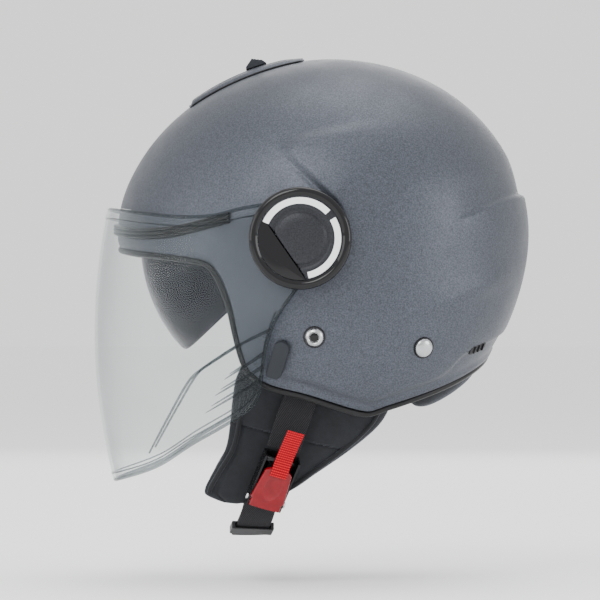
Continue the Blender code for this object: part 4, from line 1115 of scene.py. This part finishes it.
class HELMET_OT_hinges(bpy.types.Operator):
    """Round hinge covers with white inlays, half-moon release tabs, plinths, screws and nuts."""
    bl_idname = "helmet.hinges"
    bl_label = "Hinges"
    bl_options = {"REGISTER", "UNDO"}

    def execute(self, context):
        """Covers, inlays and tabs in each hinge's own frame. Plinths, screws and nuts keep their shapes."""
        for name, side in SIDES:
            place = hinge_frame(side)
            self.cover(name, place)
            self.inlays(name, place)
            self.tab(name, place)
            refinish("hinge_plinth_" + name, "satin_black")
            refinish("hinge_screw_" + name, "steel")
            refinish("hinge_nut_" + name, "steel")
        return {"FINISHED"}

    def tab_outline(self, grow):
        """The part of a disc beyond a chord that faces forwards and down."""
        radius, chord = TAB_OUTER + grow, TAB_CHORD - grow
        half = math.degrees(math.acos(chord / radius))
        lean = 180 + TAB_TURN
        return arc(radius, lean - half, lean + half, 40)

    def cover(self, name, place):
        """The gloss ring, and the grooved disc in it that a straight chord ends."""
        high = COVER_BASE + COVER_RISE
        bowl_edge = [(COVER_R, high - 0.0022), (COVER_R, COVER_BASE), (COVER_R - 0.0022, COVER_BASE)]
        rim = [(0.0283, high - 0.0006), (0.0290, high - 0.0001), (0.0300, high), (0.0312, high - 0.0003),
               (0.0322, high - 0.0009)]
        ring = lathe("hinge_ring_" + name, [
            (0.0274, high - 0.0012)] + rim + bowl_edge + [
            (0.0290, COVER_BASE + 0.0034), (0.0274, COVER_BASE + 0.0034)],
            place, 144, 50)
        finished(ring, "gloss_black", stands_for=["hinge_cover_" + name])
        radius, height = np.array([
            (0, high + 0.0001), (0.0100, high), (0.0155, high - 0.0004), (0.0166, high - 0.0012),
            (0.0174, high - 0.0020), (0.0188, high - 0.0020), (0.0196, high - 0.0012),
            (0.0204, high - 0.0009), (0.0268, high - 0.0011), (0.0273, high - 0.0015),
            (0.0273, COVER_BASE + 0.0036), (0, COVER_BASE + 0.0036)]).T
        turn = np.linspace(0, 2 * math.pi, 288, endpoint=False)
        facing = np.maximum(np.cos(turn - math.radians(180 + TAB_TURN)), 0.01)
        reach = np.minimum(radius[:, None], (TAB_CHORD - SEAT) / facing)
        high_up = np.repeat(height[:, None], len(turn), 1)
        grid = np.stack((reach * np.cos(turn), reach * np.sin(turn), high_up), -1)
        disc = surface("hinge_disc_" + name, placed(place, grid), True, 50)
        finished(disc, "hub_grey")

    def inlays(self, name, place):
        """White arcs let into the ring, with square ends and a gap between them."""
        high = COVER_BASE + COVER_RISE - 0.0011
        for k, (start, end) in enumerate(((43, 156), (-78, 31))):
            turn = np.radians(np.linspace(start, end, 90))[:, None]
            reach = np.array((0.0221, 0.0222, 0.0263, 0.0264))
            level = np.broadcast_to((high - 0.0006, high + 0.0002, high + 0.0002, high - 0.0006), (90, 4))
            grid = np.stack((reach * np.cos(turn), reach * np.sin(turn), level), -1)
            ends = [np.repeat(g.mean(0)[None, None], 4, 1) for g in (grid[0], grid[-1])]
            grid = placed(place, np.concatenate((ends[0], grid, ends[1])))
            inlay = surface("hinge_inlay_%d_%s" % (k, name), grid, True, 50)
            finished(inlay, "white_inlay")

    def tab(self, name, place):
        """The half-moon tab beside the disc."""
        high = COVER_BASE + COVER_RISE - 0.0010
        tab = prism(
            "half_moon_tab_" + name, self.tab_outline(-0.0003), COVER_BASE + 0.0022, high, place, 0.0006, 4)
        finished(tab, "gloss_black", "tab_" + name, ["release_tab_" + name])


class HELMET_OT_rivets(bpy.types.Operator):
    """Strap rivets: ringed, dark-centred in front and domed behind."""
    bl_idname = "helmet.rivets"
    bl_label = "Rivets"
    bl_options = {"REGISTER", "UNDO"}

    def execute(self, context):
        """Profiles of radius and height turned about the shell's normal: stud, washer and front eye."""
        for side_name, side in SIDES:
            for label, x, z in RIVETS:
                place = side_frame(x, z, side)
                dome = [(0, 0.0031), (0.0022, 0.0030), (0.0040, 0.0026), (0.0052, 0.0020)]
                ring = [(0, 0.0016), (0.0030, 0.0016), (0.0034, 0.0027), (0.0040, 0.0030), (0.0052, 0.0024)]
                shank = [
                    (0.0060, 0.0013), (0.0062, 0.0008), (0.0062, 0.0002), (0.0024, 0.0002), (0.0024, -0.0056),
                    (0, -0.0056)]
                head = ring if label == "front" else dome
                rivet = lathe("stud_%s_%s" % (label, side_name), head + shank, place, 64, 50)
                node = "strap_rivet_%s_%s" % (label, side_name)
                finished(rivet, "rivet_steel", stands_for=[node])
                washer = lathe("stud_seat_%s_%s" % (label, side_name), [
                    (0.0060, 0.0010), (0.0068, 0.0009), (0.0071, 0.0004), (0.0071, -0.0002),
                    (0.0060, -0.0002)], place, 64, 50)
                finished(washer, "black_steel")
                if label == "front":
                    eye = lathe("stud_eye_" + side_name, [
                        (0, 0.0021), (0.0018, 0.0020), (0.0029, 0.0017), (0.0029, 0.0012), (0, 0.0012)],
                        place, 48, 50)
                    finished(eye, "gloss_black")
        return {"FINISHED"}


class HELMET_OT_lining(bpy.types.Operator):
    """Foam impact liner and the quilted crown pad inside it."""
    bl_idname = "helmet.lining"
    bl_label = "Lining"
    bl_options = {"REGISTER", "UNDO"}

    def execute(self, context):
        """Foam and crown pad are bowls between two skins, each set in from the one outside it."""
        eps_out = inset(SHELL, EPS_OUT_INSET)
        eps_in = inset(eps_out, EPS_INSET)
        foam = bowl("foam_liner", eps_out, eps_in, EPS_RIM, 220, 60)
        finished(foam, "foam", stands_for=["impact_liner"])
        pad_out = inset(eps_in, (PAD_GAP,) * 4)
        pad_in = inset(pad_out, (PAD_THICK,) * 4)

        def quilt(azimuth, share):
            """Puff of the quilting, less its sewn channels: lines every 45 degrees and two rings."""
            spokes = np.exp(-(np.sin(4 * azimuth) / 0.10) ** 2) * ease(0.10, 0.30, share)
            rings = np.exp(-((share - 0.36) / 0.012) ** 2) + np.exp(-((share - 0.74) / 0.012) ** 2)
            puff = np.abs(np.sin(4 * azimuth)) * np.sin(np.pi * np.clip(share, 0, 1))
            return 0.0012 * puff - 0.0030 * np.clip(spokes + rings, 0, 1)

        crown = bowl("quilted_crown", pad_out, pad_in, PAD_RIM, 280, 96, quilt)
        finished(crown, "mesh_fabric", stands_for=["crown_pad"])
        return {"FINISHED"}


def pad_tables(z):
    """Front, rear, inner and outer reach of a cheek pad at heights."""
    return [through([(-section[0], section[k]) for section in PAD_SECTIONS], -z) for k in range(1, 5)]


def pad_side(name, side, x_share, y_share, radius, top, bottom, bulge=0.0):
    """A bead along a cheek pad at shares of its section's half-widths."""
    z = np.linspace(top, bottom, 70)
    front, rear, inner, outer = pad_tables(z)
    x = (front + rear) / 2 + x_share * (rear - front) / 2
    y = (inner + outer) / 2 + (y_share + bulge) * (outer - inner) / 2
    path = np.stack((x, side * y, z), -1)
    out = np.stack((np.full(70, np.sign(x_share)), np.full(70, side * 1.0), np.zeros(70)), -1)
    return sweep(name, path, out, bead(radius, 12))


class HELMET_OT_cheeks(bpy.types.Operator):
    """Padded cheek pads: crowned, sewn in two panels, with piping down both edges."""
    bl_idname = "helmet.cheeks"
    bl_label = "Cheek pads"
    bl_options = {"REGISTER", "UNDO"}

    def execute(self, context):
        """A closed form for each pad, and a bead carried along its front and its rear edge."""
        cloth = context.scene.helmet_cloth
        for name, side in SIDES:
            pad = surface("padded_cheek_" + name, self.form(side, cloth.seam), True, 50)
            finished(pad, "lining_fabric", stands_for=["cheek_pad_" + name])
            for label, x, y, top, bottom in (
                    ("rear", 0.88, 0.86, -0.092, -0.172), ("front", -0.88, 0.86, -0.108, -0.170)):
                cord = pad_side("cheek_piping_%s_%s" % (label, name), side, x, y, 0.0016, top, bottom)
                finished(cord, "piping")
        return {"FINISHED"}

    def form(self, side, seam):
        """Sections stacked by height: superellipses whose corners soften, shrinking to nothing at both ends.

        The outer face takes a sewn step along the seam, the lower panel sits back from it, and each
        panel swells between its seams.
        """
        layers, steps = 150, 150
        share = np.linspace(0, 1, layers)[:, None]
        high, low = PAD_SECTIONS[0][0] + 0.003, PAD_SECTIONS[-1][0] - 0.002
        z = high + (low - high) * share
        front, rear, inner, outer = pad_tables(z)
        run = np.minimum(z - low, high - z)
        size = np.sqrt(np.clip(1 - (1 - np.clip(run / 0.007, 0, 1)) ** 2, 0, 1))
        turn = np.linspace(0, 2 * math.pi, steps, endpoint=False)
        c, s = np.cos(turn), np.sin(turn)
        x = (front + rear) / 2 + size * np.sign(c) * np.abs(c) ** 0.55 * (rear - front) / 2
        y = (inner + outer) / 2 + size * np.sign(s) * np.abs(s) ** 0.55 * (outer - inner) / 2
        z = np.broadcast_to(z, x.shape)
        face = np.clip(s, 0, 1) ** 0.6
        gap, _ = near(CHEEK_SEAM, x, z)
        above = z - through(CHEEK_SEAM, x)
        lift = -seam * np.exp(-(gap / 0.0010) ** 2)
        lift += 0.0013 * ease(-0.0002, 0.0012, above) - 0.0012 * np.exp(-(gap / 0.010) ** 2) * (above < 0)
        edge = x - front - 0.0085
        lift -= 0.8 * seam * np.exp(-(edge / 0.0009) ** 2) * ease(-0.118, -0.128, z)
        lift += 0.0005 * np.sin(z * 210 + x * 90) * np.sin(x * 160 - z * 60) * (above < 0.03)
        y = y + face * lift * size
        ring = np.stack((x, side * y, z), -1)
        poles = [np.repeat(g.mean(0)[None, None], steps, 1) for g in (ring[0], ring[-1])]
        return np.concatenate((poles[0], ring, poles[1]))


class HELMET_OT_neck_roll(bpy.types.Operator):
    """Padded roll round the nape, sewn along its length."""
    bl_idname = "helmet.neck_roll"
    bl_label = "Neck roll"
    bl_options = {"REGISTER", "UNDO"}

    def execute(self, context):
        """A circle carried along the rear rim, inside and below it.

        Its radius is the root of 1 less the 14th power of the distance from the middle, less nine shallow
        sags and two seams pressed in by Gaussians of the angle.
        """
        radius, gap, drop, start = 0.0105, 0.0045, 0.004, 128
        count = 140
        azimuth = np.radians(np.linspace(start, 360 - start, count))
        edge = skin(SHELL, azimuth, polar_at(SHELL, azimuth, rim_at(SHELL_RIM, azimuth)))
        level = edge * (1, 1, 0)
        level /= np.linalg.norm(level, axis=1, keepdims=True)
        path = edge - level * (SHELL_WALL + radius + gap) - np.array((0, 0, drop))
        share = np.linspace(0, 1, count)
        plump = np.sqrt(np.clip(1 - np.abs(2 * share - 1) ** 14, 0.02, 1))
        turn = np.linspace(0, 2 * math.pi, 48, endpoint=False)
        sag = 1 - 0.05 * np.abs(np.sin(share * math.pi * 9))[:, None] * np.clip(-np.cos(turn), 0, 1)
        groove = 1 - 0.11 * np.exp(-((turn - 3.4) / 0.10) ** 2) - 0.11 * np.exp(-((turn - 5.9) / 0.10) ** 2)
        reach = radius * plump[:, None] * sag * groove
        profile = np.stack((reach * np.cos(turn), reach * np.sin(turn)), -1)
        roll = sweep("padded_neck_roll", path, level, profile)
        finished(roll, "lining_fabric", stands_for=["neck_roll"])
        return {"FINISHED"}


def web_out(path):
    """Directions that the webbing's outer face looks along its route: away from a line under the jaw."""
    out = path * (0, 1, 1) + np.array((0, 0, 0.100))
    return out / np.linalg.norm(out, axis=1, keepdims=True)


def buckle_place():
    """Frame of the buckle: X across the webbing, Y down along it, Z outwards."""
    top, end = (np.array(STRAP_ROUTE[k]) for k in (BUCKLE_TOP, BUCKLE_END))
    down = (end - top) / np.linalg.norm(end - top)
    middle = (top + end) / 2
    out = web_out(middle[None])[0]
    out = out - down * (out @ down)
    return aim(middle, out, down)


class HELMET_OT_straps(bpy.types.Operator):
    """Chin webbing: flat woven strap from each rivet, down the cheek and under the chin, with its slider."""
    bl_idname = "helmet.straps"
    bl_label = "Straps"
    bl_options = {"REGISTER", "UNDO"}

    def execute(self, context):
        """A flat section carried along a smooth line through each route, which ends at the buckle."""
        left = np.array(STRAP_ROUTE)
        right = left * (1, -1, 1)
        place = buckle_place()
        top = placed(place, np.array((0, -BUCKLE_LONG / 2 - 0.0024, 0.0006)))
        end = placed(place, np.array((0, BUCKLE_LONG / 2 + 0.0024, 0.0012)))
        routes = {
            "left": np.concatenate((left[:BUCKLE_TOP], [top])),
            "right": np.concatenate((right, left[BUCKLE_END + 1:-1][::-1], [end])),
        }
        for name, route in routes.items():
            path = smooth_path(route, 16)
            flat = band(STRAP_WIDTH, STRAP_THICK, 15, 0.0002)
            web = sweep("chin_webbing_" + name, path, web_out(path), flat)
            finished(web, "webbing", stands_for=["strap_" + name])
        slider = refined("strap_slider", "webbing_slider", 0.0007, 3)
        finished(slider, "satin_black", stands_for=["strap_slider"])
        return {"FINISHED"}


class HELMET_OT_buckle(bpy.types.Operator):
    """Ratchet buckle: steel channel, toothed strip, red lever with a thumb scoop, and the pull ribbon."""
    bl_idname = "helmet.buckle"
    bl_label = "Buckle"
    bl_options = {"REGISTER", "UNDO"}

    def execute(self, context):
        """Pin, barrel and roller are profiles turned about axes across the channel."""
        place = buckle_place()
        for node, name, finish, width in (
                ("buckle_channel", "ratchet_channel", "black_steel", 0.0004),
                ("toothed_strip", "ratchet_strip", "satin_black", 0.0002)):
            finished(refined(node, name, width, 2), finish, stands_for=[node])
        inside = BUCKLE_WIDE / 2 - BUCKLE_WALL - SEAT
        pin_y, pin_z = BUCKLE_LONG / 2 - 0.005, 0.0080
        side_on = aim(placed(place, np.array((0, pin_y, pin_z))), place[:3, 0], place[:3, 1])
        reach = BUCKLE_WIDE / 2 + 0.0016
        shoulder = BUCKLE_WIDE / 2 + SEAT
        pin = lathe("ratchet_pin", [
            (0, reach), (0.0014, reach), (0.0021, reach - 0.0004), (0.0022, reach - 0.0008),
            (0.0022, shoulder), (0.0014, shoulder), (0.0014, -shoulder), (0.0022, -shoulder),
            (0.0022, 0.0008 - reach), (0.0021, 0.0004 - reach), (0.0014, -reach), (0, -reach)],
            side_on, 40, 50)
        finished(pin, "steel", stands_for=["buckle_pin"])
        barrel = lathe("lever_barrel", [
            (0.0019, inside), (BARREL_R - 0.0004, inside), (BARREL_R, inside - 0.0004),
            (BARREL_R, 0.0004 - inside),
            (BARREL_R - 0.0004, -inside), (0.0019, -inside)], side_on, 48, 50)
        finished(barrel, "red_lever", "buckle")
        roller_on = aim(
            placed(place, np.array((0, -BUCKLE_LONG / 2 + 0.004, 0.0055))), place[:3, 0], place[:3, 1])
        roller = lathe("ratchet_roller", [
            (0, inside), (0.0017, inside), (0.0020, inside - 0.0003), (0.0020, 0.0003 - inside),
            (0.0017, -inside), (0, -inside)], roller_on, 40, 50)
        finished(roller, "black_steel", stands_for=["buckle_roller"])
        self.lever(place, pin_y)
        self.ribbon(place)
        return {"FINISHED"}

    def lever(self, place, pin_y):
        """A crowned plate with a thumb scoop: a flat crown less a rounded bowl, plus the bowl's lip."""
        top, foot = -BUCKLE_LONG / 2 + 0.006, BUCKLE_LONG / 2 - 0.0015
        low = BUCKLE_HIGH + SEAT
        y = np.linspace(top, foot, 90)[:, None]
        slim = BUCKLE_WIDE / 2 - BUCKLE_WALL - SEAT
        wide = 0.0088 + (0.0114 - 0.0088) * np.clip((y - top) / (pin_y - 0.002 - top), 0, 1)
        wide *= np.sqrt(np.clip(1 - (1 - np.clip((y - top) / 0.0045, 0, 1)) ** 3, 0.02, 1))
        wide = np.where(y > pin_y - 0.002, slim, wide)
        across = np.sin(np.linspace(-math.pi / 2, math.pi / 2, 51))
        x = wide * across
        bowl_r = np.hypot(x / 0.0056, (y - 0.0015) / 0.0085)
        lip = np.exp(-((bowl_r - 1.08) / 0.10) ** 2) * ease(-0.009, 0.0, y)
        scoop = np.clip(1 - bowl_r ** 2, 0, 1)
        rise = LEVER_THICK + 0.0006 * (1 - across ** 2) - 0.0013 * scoop + 0.0004 * lip
        rise -= 0.0007 * (1 - np.clip((1 - np.abs(across)) / 0.06, 0, 1)) ** 2
        rise *= 1 - 0.35 * ease(top + 0.0025, top, y)
        over = np.stack((x, np.broadcast_to(y, x.shape), low + rise), -1)
        under = np.stack((x, np.broadcast_to(y, x.shape), np.full(x.shape, low)), -1)
        ring = np.concatenate((over, under[:, ::-1]), 1)
        ends = [np.repeat(g.mean(0)[None, None], ring.shape[1], 1) for g in (ring[0], ring[-1])]
        plate = surface("scooped_lever", placed(place, np.concatenate((ends[0], ring, ends[1]))), True, 50)
        finished(plate, "red_lever", "buckle", ["buckle_lever"])

    def ribbon(self, place):
        """Woven ribbon sewn to the lever's end, lying up over the cheek pad."""
        top = -BUCKLE_LONG / 2 + 0.006
        over = BUCKLE_HIGH + SEAT + LEVER_THICK
        knots = [
            (0, top + 0.0050, over + 0.0008), (0, top + 0.0010, over + 0.0006),
            (0, top - 0.0030, over - 0.0004), (0, top - 0.0100, over - 0.0012),
            (0, top - 0.0180, over - 0.0010),
            (0, top - SEAT - RIBBON_LONG, over - 0.0004)]
        path = placed(place, smooth_path(knots, 14))
        out = np.repeat(place[None, :3, 2], len(path), 0)
        ribbon = sweep("pull_tape", path, out, band(RIBBON_WIDE, 0.0011, 11))
        finished(ribbon, "red_ribbon", "buckle", ["pull_ribbon"])


# ---------------------------------------------------------------- the stage

class HELMET_OT_stage(bpy.types.Operator):
    """Pale floor, soft lamps and the camera."""
    bl_idname = "helmet.stage"
    bl_label = "Stage"
    bl_options = {"REGISTER", "UNDO"}

    def execute(self, context):
        """A plane, an even sky, lamps, and a camera square on to the left side.

        Its lens is the sensor's width times the distance, over the width of the view.
        """
        detail = context.scene.helmet_detail
        level = CAD_BOX[0].z - FLOOR_GAP
        bpy.ops.mesh.primitive_plane_add(size=FLOOR_SIZE, location=(0, 0, level))
        floor = bpy.context.object
        floor.name = "floor"
        pale = Finish("pale_floor", Base_Color=(0.97, 0.97, 0.97, 1), Roughness=0.95)
        floor.data.materials.append(pale.material)
        world = bpy.data.worlds.new("studio")
        world.use_nodes = True
        world.node_tree.nodes["Background"].inputs["Color"].default_value = (1, 1, 1, 1)
        world.node_tree.nodes["Background"].inputs["Strength"].default_value = SKY
        bpy.context.scene.world = world
        for name, where, size, watts in LAMPS:
            self.lamp(name, where, size, watts * detail.lamps)
        centre = Vector(VIEW_CENTRE)
        eye = bpy.data.cameras.new("camera")
        eye.sensor_width = SENSOR
        eye.lens = SENSOR * detail.distance / detail.width
        eye.clip_end = 100
        camera = bpy.data.objects.new("camera", eye)
        camera.location = centre - Vector((0, detail.distance, 0))
        camera.rotation_euler = (math.pi / 2, 0, 0)
        bpy.context.scene.collection.objects.link(camera)
        bpy.context.scene.camera = camera
        return {"FINISHED"}

    def lamp(self, name, where, size, watts):
        """A square lamp that looks at the helmet."""
        light = bpy.data.lights.new(name, "AREA")
        light.shape, light.size, light.energy = "SQUARE", size, watts
        lamp = bpy.data.objects.new(name, light)
        lamp.location = where
        lamp.rotation_euler = (-Vector(where)).to_track_quat("-Z", "Y").to_euler()
        bpy.context.scene.collection.objects.link(lamp)


STEPS = (
    HELMET_OT_stage, HELMET_OT_shell, HELMET_OT_vents, HELMET_OT_rubber, HELMET_OT_shield,
    HELMET_OT_sun_visor, HELMET_OT_hinges, HELMET_OT_rivets, HELMET_OT_lining, HELMET_OT_cheeks,
    HELMET_OT_neck_roll, HELMET_OT_straps, HELMET_OT_buckle,
)
SETTINGS = (("helmet_paint", HelmetPaint), ("helmet_cloth", HelmetCloth), ("helmet_detail", HelmetDetail))


class HELMET_PT_panel(bpy.types.Panel):
    """Settings and steps of the helmet."""
    bl_label = "Helmet"
    bl_space_type = "VIEW_3D"
    bl_region_type = "UI"
    bl_category = "Helmet"

    def draw(self, context):
        """Lists every setting, then every step."""
        for name, group in SETTINGS:
            box = self.layout.box()
            for setting in group.__annotations__:
                box.prop(getattr(context.scene, name), setting)
        for step in STEPS:
            self.layout.operator(step.bl_idname)


def register():
    """Registers the settings, steps and panel."""
    for name, group in SETTINGS:
        bpy.utils.register_class(group)
        setattr(bpy.types.Scene, name, PointerProperty(type=group))
    for step in STEPS + (HELMET_PT_panel,):
        bpy.utils.register_class(step)


def unregister():
    """Takes them away again."""
    for step in reversed(STEPS + (HELMET_PT_panel,)):
        bpy.utils.unregister_class(step)
    for name, group in SETTINGS:
        delattr(bpy.types.Scene, name)
        bpy.utils.unregister_class(group)


def main():
    """Makes every piece round the frame."""
    register()
    for step in STEPS:
        getattr(bpy.ops.helmet, step.bl_idname.split(".")[1])()


if __name__ == "__main__":
    main()
